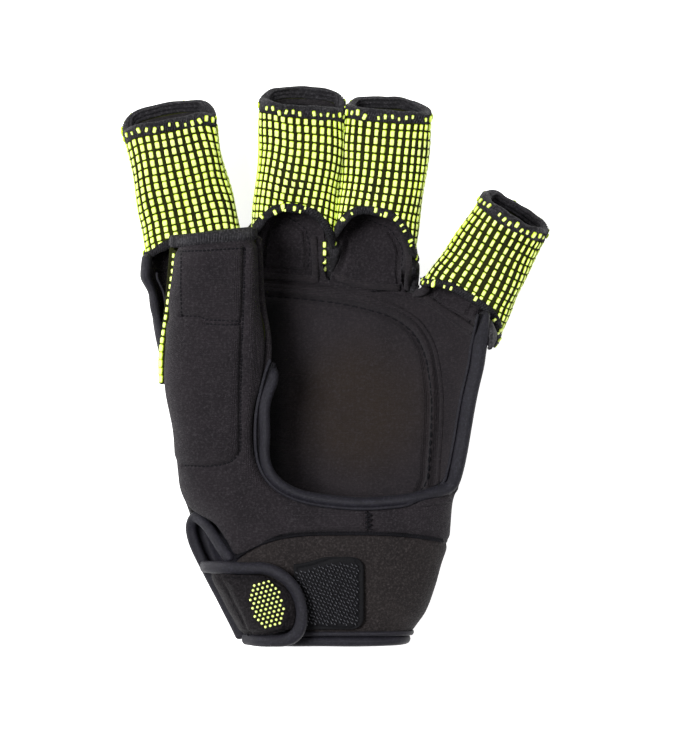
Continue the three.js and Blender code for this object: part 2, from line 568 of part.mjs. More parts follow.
const [rimEdge] = edgeRoute(backPoint, 14, (t) => [1, mix(0.74, 0.01, t)], 1, palmBeyond, [-0.02, 0]);
const palmRoute = [...frontEdge, ...sideEdge, ...rimEdge];
add('palm_binding', roll(palmRoute, palmRoute.map(() => UP), ROLL, ROLL, 8), MATERIALS.binding);

const thinBeyond = THIN_ROLL / 2 + SEAM_GAP;
const [webRoute, webUps] = edgeRoute(
  backPoint,
  10,
  (t) => [0, mix(0, 0.27, t)],
  1,
  thinBeyond + 0.1,
  [0.02, 0],
);
add('web_binding', roll(webRoute, webUps, THIN_ROLL, THIN_ROLL, 8), MATERIALS.binding);

const [wristRoute, wristUps] = edgeRoute(cuff, 24, (t) => [t, 1], -1, thinBeyond, [0, -0.05]);
add('wrist_binding', roll(wristRoute, wristUps, THIN_ROLL, THIN_ROLL, 6), MATERIALS.binding);

const slitRoute = smoothRoute(SLIT_ROUTE, 22);
add('slit_binding', roll(slitRoute, slitRoute.map(() => UP), THIN_ROLL, THIN_ROLL, 6), MATERIALS.binding);
const tabRoute = smoothRoute(TAB_ROUTE, 24);
add('tab_binding', roll(tabRoute, tabRoute.map(() => UP), THIN_ROLL, THIN_ROLL, 6), MATERIALS.binding);

// The thumb's hem goes round both its faces.
const thumbHem = { wide: 3.8, high: 3.4, steps: 12 };
const thumbPlaces = [];
for (let k = 0; k <= thumbHem.steps; k++) {
  const u = k / thumbHem.steps;
  const rim = offset(frontPoint, -NEOPRENE / 2, -1)(u, 0);
  thumbPlaces.push(rim.add(vec(0, thumbHem.wide / 2 + SEAM_GAP, 0)));
}
for (let k = thumbHem.steps - 1; k > 0; k--) {
  const rim = offset(thumbBackPoint, -KNIT / 2, 1)(k / thumbHem.steps, 0);
  thumbPlaces.push(rim.add(vec(0, thumbHem.wide / 2 + SEAM_GAP, 0)));
}
const thumbMiddle = vec(-40, 52, 40.5);
const thumbUps = thumbPlaces.map((p) => p.clone().sub(thumbMiddle).setY(0).normalize());
add(
  'thumb_hem',
  roll(thumbPlaces, thumbUps, thumbHem.wide, thumbHem.high, 6, true),
  MATERIALS.hem,
);

export default glove;
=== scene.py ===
"""A field hockey glove, palm up on its padded back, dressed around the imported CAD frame.

Every shape is a surface of two parameters, worked out with numpy in millimetres in the CAD frame and put
into a mesh in metres.
"""

import logging
import math
from dataclasses import dataclass, field
from enum import Enum
from typing import Callable, Optional, Sequence, Union

import bpy
import numpy as np
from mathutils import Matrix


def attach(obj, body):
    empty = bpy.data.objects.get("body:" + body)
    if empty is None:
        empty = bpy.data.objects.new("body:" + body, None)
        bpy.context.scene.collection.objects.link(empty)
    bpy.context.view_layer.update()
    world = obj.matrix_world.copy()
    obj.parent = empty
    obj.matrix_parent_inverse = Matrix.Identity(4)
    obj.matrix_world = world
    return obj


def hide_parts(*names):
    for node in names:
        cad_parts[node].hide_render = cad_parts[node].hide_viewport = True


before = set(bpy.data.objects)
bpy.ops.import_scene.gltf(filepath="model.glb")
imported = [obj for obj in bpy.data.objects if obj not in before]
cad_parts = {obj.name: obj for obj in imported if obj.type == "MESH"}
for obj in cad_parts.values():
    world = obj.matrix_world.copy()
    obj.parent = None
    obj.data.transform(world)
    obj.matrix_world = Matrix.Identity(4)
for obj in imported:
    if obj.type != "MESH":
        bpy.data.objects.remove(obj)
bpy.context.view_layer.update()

LOG = logging.getLogger("glove")
MM = 0.001  # metres in a millimetre
SEED = 7  # seed of every random draw
FINE_STEPS = 3001  # points on a line that is measured closely

Array = np.ndarray
Surface = Callable[[Array, Array], Array]
Relief = Callable[[Array, Array, Array], Array]

# Cloth, foam and rolled edges in millimetres and the squareness of sections, as in the CAD part.
NEOPRENE = 3.0
KNIT = 1.4
SEAM_GAP = 0.4
PAD_GAP = 0.4
FINGER_PAD = 5.6
KNUCKLE_PAD = 5.2
PAD_EDGE = 3.2
HEM_ALONG = 4.4
ROLL = 3.9
THIN_ROLL = 3.5
SHELL_POWER = 3.2
FINGER_POWER = 3.1
MOUTH_POWER = 2.35
RIB_POWER = 2.6
BOW_SKEW = 0.45
TIP_END = 0.965
ROOT_GAP = 0.9
ROOT_LEAVE = 1.15
ROOT_ARRIVE = 0.6
BLOCK_HEIGHT = 0.5

# The back of the hand from the knuckles to the wrist: left rim x y z, right rim x y z, underside, bow.
BACK_SECTIONS = np.array([
    [-64.6, 42.4, 26.0, 54.8, 23.4, 32.6, 9.2, 4.8],
    [-62.8, 27.0, 27.0, 54.4, 12.5, 34.2, 9.0, 2.2],
    [-59.7, 12.0, 30.4, 52.1, 3.5, 34.5, 9.0, 0.0],
    [-57.0, 1.8, 35.7, 50.2, -5.3, 34.5, 9.0, 0.0],
    [-54.0, -14.7, 33.2, 48.2, -17.5, 34.5, 9.0, 0.0],
    [-52.6, -28.0, 30.7, 46.2, -28.0, 34.0, 9.0, 0.0],
    [-51.2, -37.0, 28.6, 44.6, -34.2, 32.0, 9.0, 0.0],
    [-49.4, -43.0, 25.4, 43.0, -39.6, 24.0, 8.8, 0.0],
    [-46.8, -53.0, 22.6, 41.8, -53.0, 22.4, 8.2, 0.0],
])

# Ribs of a panel: outer edge x y z, palm edge x y z, crown height, crown place, roundness of each edge.
FRONT_RIBS = np.array([
    [-53.6, 49.6, 38.2, -25.6, 52.4, 38.2, 49.0, 0.5, 1, 1],
    [-54.0, 42.6, 38.2, -25.2, 44.4, 38.4, 49.6, 0.5, 1, 1],
    [-55.4, 31.5, 38.0, -24.5, 31.5, 38.8, 49.6, 0.5, 1, 1],
    [-56.6, 18.0, 37.4, -22.2, 16.5, 39.8, 49.2, 0.5, 1, 0.8],
    [-57.1, 1.8, 36.4, -23.1, 3.5, 41.6, 48.4, 0.5, 1, 0.4],
    [-54.2, -14.7, 33.8, -25.6, -6.3, 42.4, 47.4, 0.55, 1, 0.2],
    [-53.1, -28.0, 31.3, -26.4, -15.8, 42.6, 46.4, 0.6, 1, 0.1],
    [-52.1, -35.4, 29.6, -25.6, -24.0, 42.2, 45.2, 0.62, 1, 0],
    [-48.6, -41.4, 31.2, -23.1, -30.1, 41.8, 44.2, 0.64, 0.9, 0],
    [-41.4, -46.6, 35.4, -19.3, -34.3, 41.4, 43.0, 0.6, 0.5, 0],
    [-36.2, -52.8, 38.2, -14.0, -37.4, 41.0, 42.0, 0.6, 0, 0],
    [-31.4, -57.4, 39.4, -8.4, -39.2, 40.8, 41.4, 0.6, 0, 0],
    [-17.6, -51.2, 39.9, -1.0, -40.4, 40.6, 41.0, 0.6, 0, 0],
    [-2.0, -49.7, 40.1, 6.0, -41.1, 40.5, 40.8, 0.6, 0, 0],
    [13.0, -49.7, 40.2, 13.0, -41.4, 40.4, 40.6, 0.6, 0, 0],
])
SIDE_RIBS = np.array([
    [13.8, -41.4, 40.4, 43.2, -38.6, 26.0, 40.4, 0.02, 0, 1],
    [13.8, -45.0, 40.3, 42.7, -45.4, 24.6, 40.3, 0.02, 0, 1],
    [13.8, -49.4, 40.2, 42.0, -53.0, 23.6, 40.2, 0.02, 0, 1],
])
THUMB_BACK_RIBS = np.array([
    [-55.6, 49.6, 37.6, -25.9, 52.4, 37.6, 31.6, 0.5, 1, 1],
    [-56.2, 42.6, 37.6, -25.6, 44.4, 37.8, 31.4, 0.5, 1, 1],
    [-57.2, 31.5, 37.3, -25.0, 31.5, 38.2, 31.4, 0.5, 1, 1],
    [-58.6, 18.0, 36.6, -22.8, 20.0, 39.2, 32.6, 0.5, 1, 1],
    [-59.0, 8.6, 36.1, -23.9, 13.5, 39.9, 33.4, 0.5, 1, 1],
])
TAB_RIBS = np.array([
    [-42.4, -64.4, 27.3, -22.6, -64.2, 43.8, 44.6, 0.6, 1, 0],
    [-40.4, -68.4, 27.3, -16.0, -68.0, 44.2, 45.4, 0.6, 1, 0],
    [-37.8, -73.2, 27.2, -12.6, -73.0, 44.2, 45.6, 0.6, 1, 0],
    [-35.0, -78.4, 27.2, -12.0, -78.6, 43.8, 45.0, 0.6, 1, 0],
    [-32.6, -82.8, 27.2, -13.4, -83.2, 43.0, 43.8, 0.6, 1, 0],
    [-31.2, -85.4, 27.0, -18.8, -85.6, 41.8, 42.4, 0.7, 1, 0],
])

# The cuff from the arched seam to the wrist: y, left, right, low, high.
CUFF_SECTIONS = np.array([
    [-53.4, -46.6, 41.6, 8.0, 40.2],
    [-61.0, -43.6, 39.0, 7.2, 39.6],
    [-68.6, -39.6, 36.6, 6.5, 38.8],
    [-77.5, -34.6, 33.6, 5.8, 37.6],
    [-85.8, -30.2, 28.6, 5.4, 36.2],
])
ARCH_TOP, ARCH_MIDDLE = -49.7, 8.0
ARCH_RIGHT_RUN, ARCH_RIGHT_DROP = 33.8, 3.3
ARCH_LEFT_RUN, ARCH_LEFT_DROP = 41.0, 8.8
CUFF_FRONT, CUFF_BACK = 128.0, 184.0

SLIT_ROUTE = np.array([
    [-35.2, -58.6, 38.0], [-38.2, -54.4, 36.8], [-42.6, -48.0, 33.4], [-46.8, -44.6, 29.4],
    [-48.6, -47.4, 27.0], [-48.0, -52.2, 25.9], [-45.4, -58.6, 25.4], [-41.8, -65.4, 25.2],
    [-36.6, -75.6, 25.0], [-31.4, -86.0, 24.6],
])
TAB_ROUTE = np.array([
    [-43.8, -61.8, 29.4], [-41.8, -61.8, 35.8], [-36.4, -61.8, 41.6], [-29.0, -62.0, 43.8],
    [-22.8, -62.0, 44.0], [-17.6, -64.0, 44.2], [-13.2, -67.8, 44.4], [-10.6, -72.8, 44.2],
    [-9.8, -79.0, 43.8], [-11.2, -84.2, 43.0], [-15.0, -86.9, 42.2], [-20.6, -87.4, 40.4],
    [-25.4, -87.2, 37.0], [-29.2, -87.0, 31.6],
])

UP = np.array([0.0, 0.0, 1.0])


# ---------------- curves and surfaces


def mix(a: Array, b: Array, t: Array) -> Array:
    """The value t of the way from a to b."""
    return a + (b - a) * t


def ease(x: Array, low: float, high: float) -> Array:
    """A smooth step of x, 0 at low and 1 at high: three squares less two cubes of the share."""
    t = np.clip((x - low) / (high - low), 0.0, 1.0)
    return t * t * (3.0 - 2.0 * t)


def signed_power(value: Array, power: float) -> Array:
    """The value's size to a power, with its sign kept."""
    return np.sign(value) * np.abs(value) ** power


def unit(vectors: Array) -> Array:
    """The vectors at length one."""
    return vectors / np.maximum(np.linalg.norm(vectors, axis=-1, keepdims=True), 1e-12)


def rows_at(table: Array, v: Array) -> Array:
    """A table's row at v from 0 to 1, each column smoothed by a Catmull-Rom curve.

    Args:
        table: rows of numbers.
        v: shares of the way down the table.

    Returns:
        The rows, with the columns on the last axis.
    """
    last = len(table) - 1
    place = np.clip(v, 0.0, 1.0) * last
    i = np.minimum(np.floor(place).astype(int), last - 1)
    t = (place - i)[..., None]
    a, b, c, d = (table[np.clip(i + k, 0, last)] for k in (-1, 0, 1, 2))
    return b + 0.5 * t * (c - a + t * (2 * a - 5 * b + 4 * c - d + t * (3 * (b - c) + d - a)))


def run_of(line: Array) -> Array:
    """The length along a line up to each of its points."""
    return np.concatenate([[0], np.cumsum(np.linalg.norm(np.diff(line, axis=0), axis=1))])


def read_off(at: Array, known: Array, rows: Array) -> Array:
    """Rows of numbers read off at places, by straight lines between the known ones."""
    return np.stack([np.interp(at, known, rows[:, k]) for k in range(rows.shape[1])], -1)


def back_point(u: Array, v: Array) -> Array:
    """The back of the hand: half a superellipse from the left rim (u 0) under to the right rim (u 1).

    Args:
        u: shares across.
        v: shares from the knuckles to the wrist.

    Returns:
        The points.
    """
    xl, yl, zl, xr, yr, zr, low, bow = np.moveaxis(rows_at(BACK_SECTIONS, v), -1, 0)
    angle = np.pi * u
    power = 2 / SHELL_POWER
    across = (1 - signed_power(np.cos(angle), power)) / 2
    rim = mix(zl, zr, across)
    swell = bow * np.sin(angle) ** 2 * (1 + BOW_SKEW * (2 * across - 1))
    depth = (rim - low) * np.abs(np.sin(angle)) ** power
    return np.stack([mix(xl, xr, across), mix(yl, yr, across) + swell, rim - depth], -1)


def back_share_at(x: float) -> float:
    """The share u of the back's first section at which it passes x."""
    left, right = BACK_SECTIONS[0][0], BACK_SECTIONS[0][3]
    across = (x - left) / (right - left)
    return math.acos(float(signed_power(np.array(1 - 2 * across), SHELL_POWER / 2))) / math.pi


def rib_surface(table: Array) -> Surface:
    """A panel's surface from its ribs: each rises from both edges to a crown, round where it curls under.

    Args:
        table: the ribs, a row each.

    Returns:
        The surface, with u along a rib and v down the table.
    """

    def surface(u: Array, v: Array) -> Array:
        """The point at u along the rib and v down the table."""
        x0, y0, z0, x1, y1, z1, top, at, round0, round1 = np.moveaxis(rows_at(table, v), -1, 0)
        along = (1 - np.cos(np.pi * u)) / 2
        before = along < at
        to_edge = np.where(before, 1 - along / at, (along - at) / (1 - at))
        edge = np.where(before, z0, z1)
        roundness = np.clip(np.where(before, round0, round1), 0, 1)
        lift = np.maximum(1 - to_edge**RIB_POWER, 0) ** mix(1, 1 / RIB_POWER, roundness)
        return np.stack([mix(x0, x1, along), mix(y0, y1, along), mix(edge, top, lift)], -1)

    return surface


def arch_at(x: Array) -> Array:
    """The y of the arched seam above the wrist at x: a flat middle that drops by a power of the distance."""
    off = x - ARCH_MIDDLE
    right = ARCH_TOP - ARCH_RIGHT_DROP * (np.maximum(off, 0) / ARCH_RIGHT_RUN) ** 2.5
    left = ARCH_TOP - ARCH_LEFT_DROP * (np.maximum(-off, 0) / ARCH_LEFT_RUN) ** 3.7
    return np.where(off > 0, right, left)


front_point = rib_surface(FRONT_RIBS)
thumb_back_point = rib_surface(THUMB_BACK_RIBS)
tab_point = rib_surface(TAB_RIBS)


def side_point(u: Array, v: Array) -> Array:
    """The heel's other half: its ribs' surface with the lower edge laid on the arch."""
    ribs = rib_surface(SIDE_RIBS)
    points = ribs(u, v)
    points[..., 1] = mix(ribs(u, np.zeros_like(v))[..., 1], arch_at(points[..., 0]), v)
    return points


def cuff_row(y: Array) -> Array:
    """The cuff's left, right, low and high at y."""
    first, last = CUFF_SECTIONS[0][0], CUFF_SECTIONS[-1][0]
    return np.moveaxis(rows_at(CUFF_SECTIONS, (y - first) / (last - first)), -1, 0)[1:]


def cuff_section(degrees: Array, y: Array) -> Array:
    """The cuff's superellipse at y, at an angle round it.

    Args:
        degrees: the angle; 0 is the right side and 90 the palm side.
        y: the place along the glove.

    Returns:
        The points.
    """
    left, right, low, high = cuff_row(y)
    angle = np.radians(degrees)
    power = 2 / SHELL_POWER
    x = mix(left, right, (1 + signed_power(np.cos(angle), power)) / 2)
    z = mix(low, high, (1 + signed_power(np.sin(angle), power)) / 2)
    return np.stack([x, y, z], -1)


def cuff_point(u: Array, v: Array) -> Array:
    """The cuff from its front slit edge (u 0) round to its back one, its upper edge under the arched seam.

    Args:
        u: shares round the cuff.
        v: shares from the seam to the wrist.

    Returns:
        The points.
    """
    degrees = mix(CUFF_FRONT, CUFF_BACK - 360.0, u)
    flat = np.full_like(degrees, CUFF_SECTIONS[0][0])
    palm = np.clip(np.sin(np.radians(degrees)) * 3, 0, 1)
    upper = mix(flat, arch_at(cuff_section(degrees, flat)[..., 0]) - 1.5 * SEAM_GAP, palm)
    return cuff_section(degrees, mix(upper, CUFF_SECTIONS[-1][0], v))


def cuff_height(x: Array, y: Array) -> Array:
    """The cuff's height on the palm side at (x, y)."""
    left, right, low, high = cuff_row(y)
    across = np.minimum(np.abs(2 * (x - left) / (right - left) - 1), 1)
    return mix(low, high, (1 + (1 - across**SHELL_POWER) ** (1 / SHELL_POWER)) / 2)


def normal_at(surface: Surface, u: Array, v: Array, side: int, closed: bool = False) -> Array:
    """The surface's unit normals: the cross product of its differences along u and v, turned by side.

    Args:
        surface: the surface.
        u: shares across.
        v: shares along.
        side: 1 or -1, which turns the normals outwards.
        closed: whether the surface goes round in u.

    Returns:
        The normals.
    """
    step = 1e-3
    u0, u1 = (u - step, u + step) if closed else (np.maximum(u - step, 0), np.minimum(u + step, 1))
    v0, v1 = np.maximum(v - step, 0), np.minimum(v + step, 1)
    across = surface(u1, v) - surface(u0, v)
    along = surface(u, v1) - surface(u, v0)
    return unit(np.cross(across, along)) * side


def even_shares(surface: Surface, v: float, count: int) -> Array:
    """Shares u that step evenly along the surface's line at v, by the line's length up to each share."""
    fine = np.linspace(0, 1, FINE_STEPS)
    length = run_of(surface(fine, np.full_like(fine, v)))
    return np.interp(np.linspace(0, length[-1], count), length, fine)


def resample(points: Array, step: float = 0.0, count: int = 0) -> Array:
    """A polyline's points again at even distances, with a given step or count."""
    length = run_of(points)
    count = count or max(int(round(length[-1] / step)) + 1, 2)
    return read_off(np.linspace(0, length[-1], count), length, points)


def between(near: Array, far: Array) -> Surface:
    """The surface drawn straight from one line to another of as many points.

    Args:
        near: the line at u 0.
        far: the line at u 1.

    Returns:
        The surface, with v along both lines.
    """
    steps = np.arange(len(near))

    def surface(u: Array, v: Array) -> Array:
        """The point at v along both lines and u of the way between them."""
        at = v * steps[-1]
        return mix(read_off(at, steps, near), read_off(at, steps, far), u[..., None])

    return surface


def smooth_line(places: Array, count: int) -> Array:
    """Points evenly along a Catmull-Rom curve through places."""
    places = np.asarray(places, float)
    return resample(rows_at(places, np.linspace(0, 1, 40 * len(places))), count=count)


def line_distance(xy: Array, line: Array) -> Array:
    """The distance of each point from a polyline, the least over its segments.

    Args:
        xy: the points, in the palm's plane.
        line: the polyline's points.

    Returns:
        The distances.
    """
    flat = xy.reshape(-1, 2)
    best = np.full(len(flat), np.inf)
    for a, b in zip(line[:-1], line[1:]):
        run = b - a
        t = np.clip(((flat - a) @ run) / max(float(run @ run), 1e-12), 0, 1)
        best = np.minimum(best, np.linalg.norm(flat - a - t[:, None] * run, axis=1))
    return best.reshape(xy.shape[:-1])


def inside(xy: Array, outline: Array) -> Array:
    """Whether each point is inside a closed outline, by the crossings to its right.

    Args:
        xy: the points.
        outline: the outline's corners, the first one not repeated.

    Returns:
        True where a point is inside.
    """
    x, y = xy[..., 0], xy[..., 1]
    within = np.zeros(x.shape, bool)
    for (x0, y0), (x1, y1) in zip(outline, np.roll(outline, -1, axis=0)):
        crosses = (y0 > y) != (y1 > y)
        at = x0 + (y - y0) * (x1 - x0) / ((y1 - y0) or 1e-9)
        within ^= crosses & (x < at)
    return within


def groove(xy: Array, line: Array, depth: float, wide: float) -> Array:
    """A bell-shaped furrow along a line: minus depth times the exponential of minus the distance squared."""
    return -depth * np.exp(-((line_distance(xy, line) / wide) ** 2))


def strip(xy: Array, line: Array, height: float, wide: float) -> Array:
    """A flat raised strip: its full height within half its width of a line, then down over 0.6 mm."""
    return height * (1 - ease(line_distance(xy, line), wide / 2, wide / 2 + 0.6))


def plateau(xy: Array, outline: Array, height: float, edge: float) -> Array:
    """A raised field in a closed outline, easing up over the edge width from the outline inwards."""
    closed = np.vstack([outline, outline[:1]])
    depth = line_distance(xy, closed) * np.where(inside(xy, outline), 1, -1)
    return height * ease(depth, 0.0, edge)


def ripple(points: Array, length: float, height: float, seed: int) -> Array:
    """Soft unevenness: a mean of sine waves in drawn directions, a little over a wavelength long.

    Args:
        points: where it is wanted, in millimetres.
        length: about how long the waves are.
        height: about how far they go up and down.
        seed: the seed of the draws.

    Returns:
        The height at each point.
    """
    waves, gain = 7, 1.6
    draw = np.random.default_rng(seed)
    total = np.zeros(points.shape[:-1])
    for _ in range(waves):
        way = unit(draw.normal(size=3)) * 2 * np.pi / (length * draw.uniform(0.7, 1.5))
        total += np.sin(points @ way + draw.uniform(0, 2 * np.pi))
    return height * total / waves * gain


def cords(column: Array) -> Array:
    """Cords of knit between columns of blocks: a raised cosine of the column's number to a power."""
    return 0.3 * (0.5 + 0.5 * np.cos(2 * np.pi * column)) ** 1.5


# ---------------- meshes


@dataclass
class Form:
    """A mesh in the making: points in millimetres, its faces, and one number a point for each named value."""

    points: Array
    quads: Array = field(default_factory=lambda: np.zeros((0, 4), int))
    tris: Array = field(default_factory=lambda: np.zeros((0, 3), int))
    values: dict[str, Array] = field(default_factory=dict)

    def inside_out(self) -> bool:
        """Whether the closed form's volume, the sum of its triangles' triple products, is negative."""
        halves = np.vstack([self.quads[:, [0, 1, 2]], self.quads[:, [0, 2, 3]], self.tris])
        a, b, c = (self.points[halves[:, k]] for k in range(3))
        return bool(np.einsum("ij,ij->", np.cross(a, b), c) < 0)

    def turned(self) -> "Form":
        """Turns the faces round, and returns the form."""
        self.quads, self.tris = self.quads[:, ::-1], self.tris[:, ::-1]
        return self

    def outward(self) -> "Form":
        """Turns the faces round where the form is inside out, and returns it."""
        return self.turned() if self.inside_out() else self

    def mark(self, name: str, value: Union[float, Array]) -> "Form":
        """Gives every point a number under a name, and returns the form."""
        self.values[name] = np.broadcast_to(np.asarray(value, float), (len(self.points),)).copy()
        return self

    def repeated(self, points: Array) -> "Form":
        """Copies of the form, the points of each one a row of points."""
        shift = np.arange(len(points))[:, None, None] * len(self.points)
        return Form(
            points.reshape(-1, 3), (self.quads[None] + shift).reshape(-1, 4),
            (self.tris[None] + shift).reshape(-1, 3),
            {name: np.tile(value, len(points)) for name, value in self.values.items()},
        )


def join(forms: Sequence[Form]) -> Form:
    """One form of several.

    Args:
        forms: the forms.

    Returns:
        The one form, with a value that one of them lacks taken as 0.
    """
    shift, quads, tris = 0, [], []
    names = sorted({name for form in forms for name in form.values})
    for form in forms:
        quads.append(form.quads + shift)
        tris.append(form.tris + shift)
        shift += len(form.points)
    values = {
        name: np.concatenate([f.values.get(name, np.zeros(len(f.points))) for f in forms]) for name in names
    }
    return Form(np.vstack([f.points for f in forms]), np.vstack(quads), np.vstack(tris), values)


def grid_quads(rows: int, columns: int, closed: bool = False) -> Array:
    """The quads of a grid whose point (row, column) has index row * columns + column.

    Args:
        rows: how many rows.
        columns: how many points a row.
        closed: whether a row's last point joins its first.

    Returns:
        The quads' indices.
    """
    across = columns if closed else columns - 1
    j, i = np.meshgrid(np.arange(rows - 1), np.arange(across), indexing="ij")
    k = (i + 1) % columns
    quads = [j * columns + i, j * columns + k, (j + 1) * columns + k, (j + 1) * columns + i]
    return np.stack(quads, -1).reshape(-1, 4)


def caps(sides: int, last: int, hub: int) -> Array:
    """The triangles that close a tube: its first ring to a hub, and the ring from last on to the next hub."""
    i = np.arange(sides)
    k = (i + 1) % sides
    return np.vstack([
        np.stack([k, i, np.full(sides, hub)], -1),
        np.stack([last + i, last + k, np.full(sides, hub + 1)], -1),
    ])


def border(index: Array) -> Array:
    """The indices round the edge of a grid of indices, as one loop."""
    return np.concatenate([index[0], index[1:, -1], index[-1, -2::-1], index[-2:0:-1, 0]])


def bands(rings: Sequence[Array]) -> Array:
    """The quads between neighbouring closed rings of indices."""
    pairs = zip(rings[:-1], rings[1:])
    return np.vstack([np.stack([np.roll(one, -1), one, two, np.roll(two, -1)], -1) for one, two in pairs])


@dataclass
class Skin:
    """One face of a wall: its grid of points and outward normals."""

    points: Array
    normals: Array

    def drop(self, xy: Array) -> tuple[Array, Array]:
        """Lays flat places on the skin.

        Args:
            xy: places in the palm's plane.

        Returns:
            The points on the tangent plane of the nearest grid point, and the normals there.
        """
        flat, normals = self.points.reshape(-1, 3), self.normals.reshape(-1, 3)
        near = np.concatenate([
            np.argmin(((part[:, None] - flat[None, :, :2]) ** 2).sum(-1), axis=1)
            for part in np.array_split(np.asarray(xy, float), max(len(xy) // 60, 1))
        ])
        base, normal = flat[near], normals[near]
        off = xy - base[:, :2]
        lean = np.where(np.abs(normal[:, 2]) > 0.2, normal[:, 2], 0.2)
        z = base[:, 2] - (off * normal[:, :2]).sum(1) / lean
        return np.column_stack([xy, z]), normal


def wall(
    surface: Surface,
    thickness: float,
    side: int,
    us: Array,
    vs: Array,
    closed: bool = False,
    outer: Optional[Relief] = None,
    inner: Optional[Relief] = None,
    bulge: float = 0.35,
) -> tuple[Form, Skin, Skin]:
    """A cloth wall inwards from a surface, with a rounded edge all round it.

    The edge is a strip of half-circle rings: the middle of the wall, plus half the thickness by the cosine
    towards the face, plus the bulge by the sine out of the edge.

    Args:
        surface: the wall's outer surface.
        thickness: how thick the wall is.
        side: 1 or -1, which turns the surface's normal outwards.
        us: shares across, in order.
        vs: shares along, in order.
        closed: whether the wall goes round in u; us then leaves the last share out.
        outer: relief of the outer face, from its points, u and v, along the outward normal.
        inner: relief of the inner face, the same way, along the inward normal.
        bulge: how far the edge stands out, as a share of half the thickness.

    Returns:
        The closed form, its outer skin and its inner skin.
    """
    u, v = np.meshgrid(us, vs)
    base = surface(u, v)
    normal = normal_at(surface, u, v, side, closed)
    top = base + normal * (outer(base, u, v)[..., None] if outer else 0.0)
    raised = inner(base, u, v)[..., None] if inner else 0.0
    under = base - normal * (thickness + raised)
    rows, columns = u.shape
    size = rows * columns
    face = grid_quads(rows, columns, closed)
    quads = [face, face[:, ::-1] + size]
    points = [top.reshape(-1, 3), under.reshape(-1, 3)]
    index = np.arange(size).reshape(rows, columns)
    if closed:
        loops = [(index[0], index[1]), (index[-1][::-1], index[-2][::-1])]
    else:
        next_in = np.concatenate([index[1], index[1:, -2], index[-2, -2::-1], index[-2:0:-1, 1]])
        next_in[0], next_in[columns - 1] = index[1, 1], index[1, -2]
        next_in[columns + rows - 2], next_in[2 * columns + rows - 3] = index[-2, -2], index[-2, 1]
        loops = [(border(index), next_in)]
    shift = 2 * size
    steps = 3
    flat_top, flat_under = points
    for loop, near in loops:
        a, b = flat_top[loop], flat_under[loop]
        middle, half = (a + b) / 2, (a - b) / 2
        away = middle - (flat_top[near] + flat_under[near]) / 2
        depth = np.linalg.norm(half, axis=1, keepdims=True)
        away = unit(away - half * (away * half).sum(1, keepdims=True) / np.maximum(depth**2, 1e-9))
        rings = [loop]
        for k in range(1, steps + 1):
            turn = math.pi * k / (steps + 1)
            points.append(middle + half * math.cos(turn) + away * depth * bulge * math.sin(turn))
            rings.append(np.arange(len(loop)) + shift)
            shift += len(loop)
        rings.append(loop + size)
        quads.append(bands(rings))
    form = Form(np.vstack(points), np.vstack(quads)).outward()
    return form, Skin(top, normal), Skin(under, -normal)


def roll(
    route: Array,
    ups: Array,
    wide: Union[float, Array],
    high: Union[float, Array],
    sides: int = 12,
    closed: bool = False,
    power: float = 2.0,
) -> Form:
    """A rolled edge along a route: an oval carried along it, its height along up, with rounded ends.

    Args:
        route: the middle line.
        ups: the direction that the oval's height points, at each point.
        wide: the oval's width, one number or one a point.
        high: the oval's height, the same way.
        sides: points round the oval.
        closed: whether the route is a loop.
        power: the oval's squareness; 2 is an ellipse.

    Returns:
        The closed form, with the distance along it under "along" and the share round it under "around".
    """
    wide, high = (np.broadcast_to(np.asarray(size, float), (len(route),)) for size in (wide, high))
    if closed:
        along = unit(np.roll(route, -1, 0) - np.roll(route, 1, 0))
    else:
        along = unit(np.gradient(route, axis=0))
        ends = []
        for k, way, order in ((0, -1, (3, 2, 1)), (-1, 1, (1, 2, 3))):
            turn = np.array(order) * math.pi / 2 / 3.4
            reach = min(wide[k], high[k]) / 2
            ends.append((
                route[k] + way * along[k] * reach * 0.8 * np.sin(turn)[:, None],
                np.repeat(ups[k][None], 3, 0), wide[k] * np.cos(turn), high[k] * np.cos(turn),
                np.repeat(along[k][None], 3, 0),
            ))
        head, tail = ends
        route, ups = np.vstack([head[0], route, tail[0]]), np.vstack([head[1], ups, tail[1]])
        wide, high = np.concatenate([head[2], wide, tail[2]]), np.concatenate([head[3], high, tail[3]])
        along = np.vstack([head[4], along, tail[4]])
    side = unit(np.cross(along, ups))
    out = np.cross(side, along)
    angle = 2 * math.pi * np.arange(sides) / sides
    ring = (
        route[:, None]
        + side[:, None] * (wide[:, None] / 2 * signed_power(np.cos(angle), 2 / power))[..., None]
        + out[:, None] * (high[:, None] / 2 * signed_power(np.sin(angle), 2 / power))[..., None]
    )
    rows = len(route)
    points = ring.reshape(-1, 3)
    quads = grid_quads(rows, sides, True)
    tris = np.zeros((0, 3), int)
    last = (rows - 1) * sides
    if closed:
        i = np.arange(sides)
        k = (i + 1) % sides
        quads = np.vstack([quads, np.stack([last + i, last + k, k, i], -1)])
    else:
        tris = caps(sides, last, len(points))
        points = np.vstack([points, route[0], route[-1]])
    far = np.repeat(run_of(route), sides)
    around = np.tile(np.arange(sides) / sides, rows)
    pad = len(points) - len(far)
    form = Form(points, quads, tris)
    form.mark("along", np.concatenate([far, np.zeros(pad)]))
    form.mark("around", np.concatenate([around, np.zeros(pad)]))
    return form.outward()


